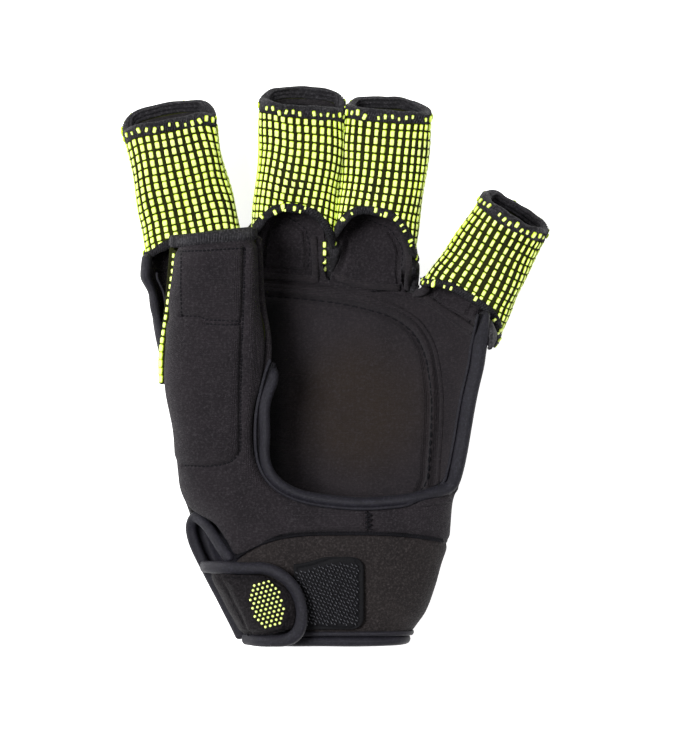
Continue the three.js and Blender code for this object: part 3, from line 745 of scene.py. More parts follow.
def stamp(shape: Form, at: Array, along: Array, up: Array, size: Union[float, Array] = 1.0) -> Form:
    """A small shape repeated: its x runs along, its z up and its y across, at every place.

    Args:
        shape: the small closed form, about its own origin.
        at: the places.
        along: the direction of its x at each place.
        up: the direction of its z at each place.
        size: scale at each place.

    Returns:
        One form of all the copies.
    """
    up = unit(up)
    across = unit(np.cross(up, along))
    along = np.cross(across, up)
    size = np.broadcast_to(np.asarray(size, float), (len(at),))[:, None, None]
    local = shape.points[None] * size
    points = (
        at[:, None]
        + local[..., :1] * along[:, None]
        + local[..., 1:2] * across[:, None]
        + local[..., 2:] * up[:, None]
    )
    return shape.repeated(points)


def bead(length: float, wide: float, high: float, sides: int = 6) -> Form:
    """A stitch: an oval bead along x, its section swelling from nothing by a power of the sine.

    Args:
        length: its length.
        wide: its full width.
        high: its full height.
        sides: points round it.

    Returns:
        The closed form.
    """
    share = np.array([0.08, 0.3, 0.7, 0.92])
    x = (share - 0.5) * length
    swell = np.sin(np.pi * share) ** 0.6
    angle = 2 * np.pi * np.arange(sides) / sides
    y = np.outer(swell, np.cos(angle)) * wide / 2
    z = np.outer(swell, np.sin(angle)) * high / 2
    points = np.stack([np.repeat(x[:, None], sides, 1), y, z], -1).reshape(-1, 3)
    points = np.vstack([points, [[-length / 2, 0, 0], [length / 2, 0, 0]]])
    return Form(points, grid_quads(4, sides, True), caps(sides, 3 * sides, 4 * sides)).outward()


def dome(radius: float, height: float, sides: int = 10) -> Form:
    """A grip dot: rings of radius by the cosine and height by the sine, closed under its foot.

    Args:
        radius: its radius.
        height: how far it stands up.
        sides: points round it.

    Returns:
        The closed form, with a painted highlight under "pale" that grows towards its top.
    """
    turn = np.array([-0.25, 0.0, 0.5, 1.0])
    angle = 2 * np.pi * np.arange(sides) / sides
    rings = [np.column_stack([
        radius * math.cos(max(t, 0)) * np.cos(angle), radius * math.cos(max(t, 0)) * np.sin(angle),
        np.full(sides, height * math.sin(t)),
    ]) for t in turn]
    points = np.vstack(rings + [[[0, 0, -0.25 * height]], [[0, 0, height]]])
    form = Form(points, grid_quads(4, sides, True), caps(sides, 3 * sides, 4 * sides))
    # Painted highlight: "pale" rises from the foot to the top.
    form.mark("pale", np.concatenate([np.repeat([0, 0, 0.4, 0.9], sides), [0, 1.0]]))
    return form.outward()


def stitch_row(route: Array, normals: Array, pitch: float, size: tuple[float, float, float]) -> Form:
    """Stitches along a route on cloth, a bead of a size (long, wide, high) at every pitch."""
    both = resample(np.hstack([route, normals]), step=pitch)
    at, up = both[:, :3], unit(both[:, 3:])
    middle = (at[1:] + at[:-1]) / 2
    return stamp(bead(*size), middle, unit(at[1:] - at[:-1]), unit(up[1:] + up[:-1]))


def sewn_line(skin: Skin, line: Array, pitch: float, size: tuple[float, float, float]) -> Form:
    """Stitches along a flat line laid on a skin."""
    points, normals = skin.drop(resample(np.asarray(line, float), step=1.0))
    return stitch_row(points, normals, pitch, size)


def laid_tape(skin: Skin, line: Array, wide: float, high: float) -> Form:
    """A flat tape laid along a line on a skin, half sunk into it, with soft edges."""
    points, normals = skin.drop(resample(line, step=0.7))
    points, normals = soften(points, 3), unit(soften(normals, 6))
    uneven = 1 + 0.08 * ripple(points, 9, 1.0, SEED + 77)
    return roll(points + normals * 0.15, normals, wide * uneven, high * uneven, 12, False, 2.8)


def offset(surface: Surface, distance: float, side: int, closed: bool = False) -> Surface:
    """The surface moved outwards by a distance along its normals."""
    return lambda u, v: surface(u, v) + distance * normal_at(surface, u, v, side, closed)


def part_of(surface: Surface, u0: float, u1: float, v0: float, v1: float) -> Surface:
    """The part of a surface from (u0, v0) to (u1, v1), as a surface of its own."""
    return lambda u, v: surface(mix(u0, u1, u), mix(v0, v1, v))


def edge_depth(points: Array) -> Array:
    """How far each grid point is from the grid's edges, by the lengths of its row and its column."""
    best = np.full(points.shape[:2], np.inf)
    for axis in (1, 0):
        steps = np.linalg.norm(np.diff(points, axis=axis), axis=-1)
        run = np.concatenate([np.zeros_like(np.take(steps, [0], axis)), np.cumsum(steps, axis)], axis)
        best = np.minimum(best, np.minimum(run, np.take(run, [-1], axis) - run))
    return best


def seam_fall(points: Array, depth: float = 0.9, wide: float = 1.5) -> Array:
    """The dip of cloth towards its sewn edges: minus depth by a bell of the distance from the edge."""
    return -depth * np.exp(-((edge_depth(points) / wide) ** 2))


def edge_line(
    surface: Surface,
    us: Array,
    vs: Array,
    side: int,
    beyond: float,
    sunk: float,
    inwards: tuple[float, float],
) -> tuple[Array, Array]:
    """A line beside a panel's edge, off it in the panel's own plane and under its face.

    Args:
        surface: the panel's surface.
        us: shares u of the edge's points.
        vs: shares v of the edge's points.
        side: 1 or -1, which turns the surface's normal outwards.
        beyond: how far off the edge.
        sunk: how far under the face.
        inwards: a small step in u and v that leads into the panel.

    Returns:
        The line and the panel's normals along it.
    """
    up = normal_at(surface, us, vs, side)
    edge = surface(us, vs)
    away = unit(np.cross(np.gradient(edge, axis=0), up))
    into = surface(us + inwards[0], vs + inwards[1]) - edge
    away = away * np.where((away * into).sum(-1, keepdims=True) > 0, -1, 1)
    return edge - up * sunk + away * beyond, up


def soften(line: Array, times: int, closed: bool = False) -> Array:
    """A line with its corners eased, each pass taking a point halfway to the mean of its neighbours.

    Args:
        line: the points.
        times: how many passes.
        closed: whether the line is a loop.

    Returns:
        The eased points.
    """
    for _ in range(times):
        if closed:
            line = line / 2 + (np.roll(line, 1, 0) + np.roll(line, -1, 0)) / 4
        else:
            inner = line[1:-1] / 2 + (line[:-2] + line[2:]) / 4
            line = np.vstack([line[:1], inner, line[-1:]])
    return line


# ---------------- finishes


class Value:
    """A number that varies over a surface; Python's operators add the Math nodes for it."""

    def __init__(self, tree: "Shader", socket: bpy.types.NodeSocket) -> None:
        """Wraps a node's output socket."""
        self.tree = tree
        self.socket = socket

    def __add__(self, other: "Number") -> "Value":
        """The sum."""
        return self.tree.math("ADD", self, other)

    __radd__ = __add__

    def __mul__(self, other: "Number") -> "Value":
        """The product."""
        return self.tree.math("MULTIPLY", self, other)

    __rmul__ = __mul__

    def __sub__(self, other: "Number") -> "Value":
        """The difference."""
        return self.tree.math("SUBTRACT", self, other)

    def __rsub__(self, other: "Number") -> "Value":
        """The difference from a number."""
        return self.tree.math("SUBTRACT", other, self)

    def __truediv__(self, other: "Number") -> "Value":
        """The quotient."""
        return self.tree.math("DIVIDE", self, other)

    def __pow__(self, other: "Number") -> "Value":
        """The power."""
        return self.tree.math("POWER", self, other)

    def sine(self) -> "Value":
        """The sine."""
        return self.tree.math("SINE", self)

    def size(self) -> "Value":
        """The value without its sign."""
        return self.tree.math("ABSOLUTE", self)

    def stepped(self, low: float, high: float) -> "Value":
        """A smooth step of the value, 0 at low and 1 at high."""
        return self.tree.value(
            "ShaderNodeMapRange", {"interpolation_type": "SMOOTHSTEP"},
            {"Value": self, "From Min": low, "From Max": high}, "Result",
        )


Number = Union[Value, float, int]
Colour = tuple[float, float, float]


class Shader:
    """A material's node tree: a Principled surface and what feeds it."""

    def __init__(self, name: str) -> None:
        """Makes the material with its surface and its output."""
        self.material = bpy.data.materials.new(name)
        self.material.use_nodes = True
        self.nodes = self.material.node_tree.nodes
        self.links = self.material.node_tree.links
        self.nodes.clear()
        out = self.nodes.new("ShaderNodeOutputMaterial")
        self.surface = self.nodes.new("ShaderNodeBsdfPrincipled")
        self.links.new(self.surface.outputs[0], out.inputs["Surface"])

    def feed(self, socket: bpy.types.NodeSocket, value: object) -> None:
        """Links a value or a socket into a socket, or sets a constant on it."""
        if isinstance(value, Value):
            self.links.new(value.socket, socket)
        elif isinstance(value, bpy.types.NodeSocket):
            self.links.new(value, socket)
        elif isinstance(value, tuple) and len(value) == 3 and socket.type == "RGBA":
            socket.default_value = (*value, 1.0)
        else:
            socket.default_value = value

    def node(self, kind: str, settings: dict, inputs: dict) -> bpy.types.Node:
        """Any node: its settings first, a ramp's stops among them, then the values or links of its sockets.

        Args:
            kind: the node's type.
            settings: its properties by name; "stops" holds a ramp's (place, colour) pairs.
            inputs: a number, colour, Value or socket for each input, by name or index.

        Returns:
            The node.
        """
        node = self.nodes.new(kind)
        for name, value in settings.items():
            if name == "stops":
                ramp = node.color_ramp.elements
                while len(ramp) < len(value):
                    ramp.new(0.5)
                for element, (place, colour) in zip(ramp, value):
                    element.position, element.color = place, (*colour, 1.0)
            else:
                setattr(node, name, value)
        for name, value in inputs.items():
            self.feed(node.inputs[name], value)
        return node

    def value(self, kind: str, settings: dict, inputs: dict, output: Union[str, int] = 0) -> Value:
        """One output of a new node, as a Value."""
        return Value(self, self.node(kind, settings, inputs).outputs[output])

    def math(self, operation: str, *values: Number) -> Value:
        """A Math node of an operation on one or two values."""
        return self.value("ShaderNodeMath", {"operation": operation}, dict(enumerate(values)))

    def place(self) -> bpy.types.NodeSocket:
        """The Object coordinates, in metres."""
        return self.node("ShaderNodeTexCoord", {}, {}).outputs["Object"]

    def axes(self) -> tuple[Value, Value, Value]:
        """The Object coordinates x, y and z as values."""
        split = self.node("ShaderNodeSeparateXYZ", {}, {0: self.place()})
        return tuple(Value(self, split.outputs[k]) for k in range(3))

    def attribute(self, name: str) -> Value:
        """A piece's own number on its points."""
        return self.value("ShaderNodeAttribute", {"attribute_name": name}, {}, "Fac")

    def noise(self, scale: float, detail: float = 3.0, roughness: float = 0.55) -> Value:
        """Noise on the Object coordinates, from 0 to 1, with a scale per metre."""
        inputs = {"Vector": self.place(), "Scale": scale, "Detail": detail, "Roughness": roughness}
        return self.value("ShaderNodeTexNoise", {}, inputs)

    def blend(self, factor: Number, one: object, two: object) -> bpy.types.NodeSocket:
        """A colour between two, by a factor."""
        node = self.node("ShaderNodeMix", {"data_type": "RGBA"}, {0: factor})
        self.feed(node.inputs[6], one)
        self.feed(node.inputs[7], two)
        return node.outputs[2]

    def bump(self, height: Value, distance: float, strength: float = 1.0) -> None:
        """Feeds a height, in shares of a distance in metres, to the surface's normal."""
        node = self.node("ShaderNodeBump", {}, {"Strength": strength, "Distance": distance, "Height": height})
        self.links.new(node.outputs[0], self.surface.inputs["Normal"])

    def finish(self, **inputs: object) -> bpy.types.Material:
        """Feeds the surface's sockets, named with _ for a space, and returns the material."""
        for name, value in inputs.items():
            self.feed(self.surface.inputs[name.replace("_", " ")], value)
        return self.material


class Weave(Enum):
    """The face of a cloth."""

    JERSEY = "fine knitted columns"
    LOOP = "brushed loops"
    SMOOTH = "stretched tricot"
    RIBBED = "overlocked threads"


@dataclass(frozen=True)
class ClothFinish:
    """A dark cloth: two near colours mottled together, a woven bump, a soft sheen of fibres, and where asked
    a painted shade.

    Attributes:
        name: the material's name.
        colour: one of the two colours.
        second: the other.
        weave: the face of the cloth.
        relief: how high its face stands, in metres.
        roughness: its roughness before the weave takes from it.
        sheen: the weight of the fibres' sheen.
        specular: how strongly it mirrors.
        lint: the colour of the finest pale grain.
        stain: a worn place's x, y and reach in metres, and its colour.
        shade: the x from which and to which a painted shade fades out, and the y up to which it reaches.
    """

    name: str
    colour: Colour
    second: Colour
    weave: Weave
    relief: float
    roughness: float = 0.9
    sheen: float = 0.25
    specular: float = 0.2
    lint: Colour = (0.042, 0.038, 0.042)
    stain: Optional[tuple[float, float, float, Colour]] = None
    shade: Optional[tuple[float, float, float]] = None

    def face(self, shader: Shader) -> Value:
        """The height of the cloth's face.

        Args:
            shader: the material's nodes.

        Returns:
            The height, from 0 to about 1.
        """
        x, y, z = shader.axes()
        fine = shader.noise(1500.0, 2.0)
        if self.weave is Weave.JERSEY:
            columns = ((x + z * 0.6) * 2 * math.pi / 0.0009).sine().size()
            courses = ((y + z * 0.35) * 2 * math.pi / 0.0013).sine().size()
            return columns * courses * 0.45 + fine * 0.75
        if self.weave is Weave.LOOP:
            loops = shader.value(
                "ShaderNodeTexVoronoi", {"feature": "F1"}, {"Vector": shader.place(), "Scale": 1100.0},
            )
            return (1 - loops) * 0.6 + shader.noise(2600.0, 3.0, 0.7) * 0.7
        if self.weave is Weave.RIBBED:
            threads = (shader.attribute("along") * 2 * math.pi / 0.9).sine().size()
            return threads * 0.7 + fine * 0.3
        ribs = ((x - y * 0.4 + z * 0.8) * 2 * math.pi / 0.0007).sine().size()
        return ribs * 0.35 + fine * 0.3

    def make(self) -> bpy.types.Material:
        """The cloth's material."""
        shader = Shader(self.name)
        face = self.face(shader)
        mottle = shader.noise(70.0, 4.0, 0.6).stepped(0.35, 0.65)
        grain = shader.noise(1250.0, 2.0, 0.7).stepped(0.42, 0.8) * 0.7
        colour = shader.blend(mottle, self.colour, self.second)
        if self.stain:
            x0, y0, reach, tint = self.stain
            x, y, _ = shader.axes()
            away = ((x - x0) ** 2.0 + (y - y0) ** 2.0) ** 0.5
            worn = (1 - away.stepped(reach * 0.35, reach * 1.25)) * (shader.noise(55.0, 3.0) * 0.8 + 0.4)
            colour = shader.blend(worn, colour, tint)
        colour = shader.blend(grain, colour, self.lint)
        # Painted shade: below the y the colour darkens to near black for small x. It stands in for the shadow
        # that the thumb panel casts into the palm's left side.
        if self.shade:
            low, high, top = self.shade
            soft, black = 0.008, (0.0012, 0.0012, 0.0018)
            x, y, _ = shader.axes()
            deep = (1 - x.stepped(low, high)) * (1 - y.stepped(top - soft, top))
            colour = shader.blend(deep, colour, black)
        shader.bump(face, self.relief)
        rough = self.roughness - face * 0.12
        return shader.finish(
            Base_Color=colour, Roughness=rough, Specular_IOR_Level=self.specular,
            Sheen_Weight=self.sheen, Sheen_Roughness=0.45, Sheen_Tint=(0.12, 0.115, 0.125, 1.0),
        )


@dataclass(frozen=True)
class RubberFinish:
    """Printed grip rubber: a strong rim colour, with a painted highlight that pales it where the block stands
    highest.
    """

    name: str
    rim: Colour
    # pale is the colour of the painted highlight on a block's crown.
    pale: Colour
    roughness: float = 0.5

    def make(self) -> bpy.types.Material:
        """The rubber's material."""
        shader = Shader(self.name)
        # Painted highlight: the point value "pale", broken by noise, blends the rim colour towards the pale
        # one.
        height = shader.attribute("pale") * (shader.noise(200.0, 2.0) * 0.9 + 0.65)
        tone = shader.blend(height.stepped(0.0, 0.95), self.rim, self.pale)
        grain = shader.noise(1800.0, 2.0)
        shader.bump(grain, 0.00012)
        return shader.finish(
            Base_Color=tone, Roughness=grain * 0.2 + (self.roughness - 0.1), Specular_IOR_Level=0.35,
        )


@dataclass(frozen=True)
class HookFinish:
    """Moulded nylon: black, with a soft gloss that a fine grain breaks."""

    name: str
    colour: Colour
    worn: Colour
    roughness: float
    specular: float

    def make(self) -> bpy.types.Material:
        """The nylon's material."""
        shader = Shader(self.name)
        grain = shader.noise(1400.0, 3.0)
        shader.bump(grain, 0.0001)
        return shader.finish(
            Base_Color=shader.blend(grain.stepped(0.45, 0.75), self.colour, self.worn),
            Roughness=grain * 0.3 + self.roughness, Specular_IOR_Level=self.specular,
        )


def made(finish: Union[ClothFinish, RubberFinish, HookFinish]) -> bpy.types.Material:
    """A field that holds the finish's material, made with the glove's finishes."""
    return field(default_factory=finish.make)


@dataclass
class Finishes:
    """The glove's finishes, each made once."""

    neoprene: bpy.types.Material = made(ClothFinish(
        "neoprene jersey", (0.0096, 0.0075, 0.0098), (0.0146, 0.0115, 0.0144), Weave.JERSEY, 0.0005,
        lint=(0.043, 0.038, 0.043),
    ))
    # The palm lining carries a painted shade: near black at its left, where the thumb panel's shadow falls
    # into the palm.
    lining: bpy.types.Material = made(ClothFinish(
        "palm lining jersey", (0.0116, 0.0095, 0.0117), (0.0160, 0.0130, 0.0154), Weave.JERSEY, 0.0004,
        lint=(0.032, 0.027, 0.030),
        stain=(0.010, -0.006, 0.026, (0.0205, 0.0140, 0.0104)), shade=(-0.0210, -0.0125, 0.036),
    ))
    loop: bpy.types.Material = made(ClothFinish(
        "loop cloth", (0.0102, 0.0078, 0.0080), (0.0138, 0.0107, 0.0106), Weave.LOOP, 0.0007, sheen=0.3,
        lint=(0.050, 0.042, 0.042),
    ))
    binding: bpy.types.Material = made(ClothFinish(
        "binding tricot", (0.0063, 0.0058, 0.0094), (0.0086, 0.0080, 0.0120), Weave.SMOOTH, 0.00018,
        roughness=0.66, sheen=0.05, specular=0.24, lint=(0.026, 0.025, 0.036),
    ))
    inside: bpy.types.Material = made(ClothFinish(
        "finger lining jersey", (0.0094, 0.0080, 0.0094), (0.0145, 0.0126, 0.0142), Weave.JERSEY, 0.0005,
        sheen=0.1, lint=(0.040, 0.036, 0.040),
    ))
    knit: bpy.types.Material = made(ClothFinish(
        "black grip knit", (0.0095, 0.0104, 0.0016), (0.0175, 0.0194, 0.0030), Weave.JERSEY, 0.0003,
        sheen=0.1, specular=0.12, lint=(0.030, 0.034, 0.010),
    ))
    hem: bpy.types.Material = made(ClothFinish(
        "overlocked hem", (0.0042, 0.0039, 0.0053), (0.0125, 0.0116, 0.0148), Weave.RIBBED, 0.0006,
        roughness=0.75, sheen=0.2, specular=0.3, lint=(0.086, 0.081, 0.092),
    ))
    overlock: bpy.types.Material = made(ClothFinish(
        "black overlock", (0.0026, 0.0024, 0.0036), (0.0078, 0.0073, 0.0098), Weave.RIBBED, 0.0005,
        roughness=0.75, sheen=0.1, specular=0.25, lint=(0.050, 0.048, 0.056),
    ))
    foam: bpy.types.Material = made(ClothFinish(
        "foam cover", (0.0125, 0.0108, 0.0125), (0.0165, 0.0145, 0.0165), Weave.JERSEY, 0.0005,
    ))
    thread: bpy.types.Material = made(ClothFinish(
        "black thread", (0.0014, 0.0013, 0.0022), (0.0040, 0.0037, 0.0055), Weave.SMOOTH, 0.0001,
        roughness=0.7, sheen=0.02, specular=0.12, lint=(0.008, 0.008, 0.011),
    ))
    tab: bpy.types.Material = made(ClothFinish(
        "tab cloth", (0.0048, 0.0038, 0.0047), (0.0068, 0.0055, 0.0066), Weave.LOOP, 0.0006,
        sheen=0.02, specular=0.15, lint=(0.030, 0.026, 0.030),
    ))
    # The neon's second colour is the painted highlight on the blocks' crowns.
    neon: bpy.types.Material = made(RubberFinish(
        "neon grip rubber", (0.58, 0.77, 0.02), (0.88, 1.00, 0.33),
    ))
    hook: bpy.types.Material = made(HookFinish(
        "hook nylon", (0.024, 0.024, 0.030), (0.070, 0.070, 0.080), 0.3, 0.5,
    ))
    tape: bpy.types.Material = made(HookFinish(
        "hook tape ground", (0.0035, 0.0035, 0.0045), (0.0080, 0.0080, 0.0090), 0.6, 0.12,
    ))


def make_piece(
    name: str,
    form: Form,
    finish: bpy.types.Material,
    nodes: Sequence[str] = (),
) -> None:
    """Puts a form into a mesh in metres, dresses it and ties it to the frame.

    Args:
        name: the piece's name.
        form: its shape, in millimetres.
        finish: its material.
        nodes: the CAD nodes that it replaces.
    """
    mesh = bpy.data.meshes.new(name)
    quads, tris = form.quads, form.tris
    corners = np.concatenate([quads.ravel(), tris.ravel()]).astype(np.int32)
    starts = np.concatenate([
        4 * np.arange(len(quads)), 4 * len(quads) + 3 * np.arange(len(tris)),
    ]).astype(np.int32)
    mesh.vertices.add(len(form.points))
    mesh.vertices.foreach_set("co", (form.points * MM).astype(np.float32).ravel())
    mesh.loops.add(len(corners))
    mesh.loops.foreach_set("vertex_index", corners)
    mesh.polygons.add(len(starts))
    mesh.polygons.foreach_set("loop_start", starts)
    mesh.update(calc_edges=True)
    mesh.validate()
    for key, value in form.values.items():
        mesh.attributes.new(key, "FLOAT", "POINT").data.foreach_set("value", value.astype(np.float32))
    mesh.shade_smooth()
    mesh.materials.append(finish)
    piece = bpy.data.objects.new(name, mesh)
    bpy.context.scene.collection.objects.link(piece)
    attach(piece, "root")
    if nodes:
        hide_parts(*nodes)
    LOG.info("%s: %d faces", name, len(mesh.polygons))


# ---------------- the hand


@dataclass
class BackOfHand:
    """The back of the hand with its inner pad, the segmented foam under it and the bound web edge."""

    finishes: Finishes
    pad_height: float = 1.7
    little_fold: Array = field(default_factory=lambda: smooth_line(np.array([
        [36.4, 36.8], [34.6, 34.6], [34.0, 32.6], [41.0, 27.6], [47.0, 23.6], [51.6, 20.6],
    ]), 60))
    pad_outline: Array = field(default_factory=lambda: smooth_line(np.array([
        [-30.0, 37.0], [-23.8, 36.9], [0.0, 34.6], [16.0, 31.4], [26.0, 27.6], [32.4, 22.6], [37.0, 14.2],
        [39.2, 2.0], [39.6, -8.0], [38.6, -24.0], [37.0, -36.0], [28.0, -44.0], [0.0, -47.0],
        [-28.0, -45.0], [-44.0, -36.0], [-50.0, -10.0], [-54.0, 14.0], [-50.0, 33.0], [-30.0, 37.0],
    ]), 160)[:-1])
    pad_seam: Array = field(default_factory=lambda: smooth_line(np.array([
        [-40.0, 32.6], [-23.8, 33.2], [0.0, 31.0], [15.0, 27.9], [23.6, 24.6], [29.4, 20.0], [33.4, 12.8],
        [35.5, 1.4], [35.9, -8.0], [35.0, -23.0], [33.4, -34.0], [25.0, -40.4],
    ]), 140))

    def lining_relief(self, points: Array, u: Array, v: Array) -> Array:
        """The shell's inner face: the pad raised in its outline, a rope edge, and the sewn line inside it.

        Args:
            points: the face's points.
            u: their shares across.
            v: their shares along.

        Returns:
            How far each point is raised.
        """
        xy = points[..., :2]
        raised = plateau(xy, self.pad_outline, self.pad_height, 1.3)
        within = inside(xy, self.pad_outline)
        off = line_distance(xy, np.vstack([self.pad_outline, self.pad_outline[:1]]))
        rope = 0.5 * np.exp(-(((off - 1.2) / 0.8) ** 2)) * within
        rope -= 0.6 * np.exp(-(((off - 0.9) / 0.8) ** 2)) * ~within
        sewn = groove(xy, self.pad_seam, 2.0, 1.1)
        folds = strip(xy, self.little_fold, 0.9, 2.2)
        crown = 1.2 * np.exp(-(((xy[..., 0] - 2) / 26) ** 2) - (((xy[..., 1] + 6) / 30) ** 2))
        return raised + rope + sewn + folds + crown + ripple(points, 34, 0.35, SEED) + seam_fall(points, 0.4)

    def shell(self) -> Skin:
        """The neoprene shell.

        Returns:
            Its inner skin.
        """
        us = even_shares(back_point, 0.35, 230)
        vs = np.concatenate([np.linspace(0, 0.25, 80)[:-1], np.linspace(0.25, 1, 120)])
        form, _, inner = wall(
            back_point, NEOPRENE, 1, us, vs,
            outer=lambda p, u, v: ripple(p, 24, 0.4, SEED + 1) + seam_fall(p),
            inner=self.lining_relief,
        )
        # The lining finish paints shade near black into the palm's left side.
        make_piece("back_of_hand", form, self.finishes.lining, ["back_shell"])
        return inner

    def padding(self) -> None:
        """The foam under the hand: puffed fields between sewn channels, flat where the glove rests."""
        left, right, narrow, deep, thinnest = -48.0, 41.0, 2.1, 4.2, 1.2
        top = part_of(
            offset(back_point, PAD_GAP, 1), back_share_at(left), back_share_at(right), 0.1, 0.74,
        )
        us, vs = even_shares(top, 0.5, 130), np.linspace(0, 1, 110)
        u, v = np.meshgrid(us, vs)
        ceiling = top(u, v)
        depth = edge_depth(ceiling)
        rise = PAD_EDGE * (1 - np.clip(depth / 9.0, 0, 1)) ** 2
        width = ease(ceiling[..., 0], left, right)
        channels = np.zeros_like(rise)
        for share in (0.27, 0.5, 0.73):
            channels = np.maximum(channels, np.exp(-(((width - share) * (right - left) / narrow) ** 2)))
        for y in (11.0, -11.0):
            bend = y + 3.0 * np.sin(width * 5.0)
            channels = np.maximum(channels, np.exp(-(((ceiling[..., 1] - bend) / narrow) ** 2)))
        height = np.minimum(np.maximum(rise, channels * deep), ceiling[..., 2] - thinnest)
        floor = np.stack([ceiling[..., 0], ceiling[..., 1], height], -1)
        loop = border(np.arange(u.size).reshape(u.shape))
        face = grid_quads(*u.shape)
        points = [floor.reshape(-1, 3), ceiling.reshape(-1, 3)]
        a, b = points[0][loop], points[1][loop]
        away = unit((a - a.mean(0)) * np.array([1, 1, 0]))
        rings, steps, puff = [loop], 5, 1.6
        for k in range(1, steps):
            share = k / steps
            points.append(mix(a, b, share) + away * puff * math.sin(math.pi * share))
            rings.append(np.arange(len(loop)) + 2 * u.size + (k - 1) * len(loop))
        rings.append(loop + u.size)
        quads = [face, face[:, ::-1] + u.size, bands(rings)]
        form = Form(np.vstack(points), np.vstack(quads)).outward()
        make_piece("back_padding", form, self.finishes.foam, ["back_pad"])

    def web_edge(self) -> None:
        """The bound edge of the web between thumb and index: a soft roll that waves a little."""
        share = np.linspace(0, 0.27, 70)
        line, up = edge_line(back_point, np.zeros(70), share, 1, THIN_ROLL / 2 + 0.5, 1.5, (0.02, 0))
        swell = 1 + 0.1 * np.sin(share * 70) + 0.08 * np.sin(share * 31 + 1)
        width = np.interp(share, [0.0, 0.04, 0.09, 0.27], [1.5, 1.9, 1.45, 0.9])
        line[:, 0] += np.interp(share, [0.0, 0.035, 0.075, 0.27], [-1.0, -1.8, 0.2, 0.9])
        line[:, 1] += 3.4 * np.clip(1 - share / 0.02, 0, 1)
        line = soften(line, 6)
        form = roll(line, up, THIN_ROLL * width * swell, THIN_ROLL * swell, 18)
        fold = roll(line[6:58] + [3.9, 0.0, 1.6], up[6:58], 1.1, 0.9, 10)
        make_piece("web_binding", join([form, fold]), self.finishes.binding, ["web_binding"])

    def build(self) -> None:
        """Builds all of it, and lays the pad's stitches and tapes on the shell's inner skin."""
        skin = self.shell()
        self.padding()
        self.web_edge()
        form = sewn_line(skin, self.pad_seam, 3.0, (2.6, 1.0, 0.6))
        make_piece("inner_pad_stitches", form, self.finishes.thread)
        edge = self.pad_outline[(self.pad_outline[:, 0] > -26) & (self.pad_outline[:, 1] > -42)]
        forms = [laid_tape(skin, edge, 1.6, 1.6), laid_tape(skin, self.little_fold, 2.3, 1.9)]
        make_piece("lining_tapes", join(forms), self.finishes.lining)


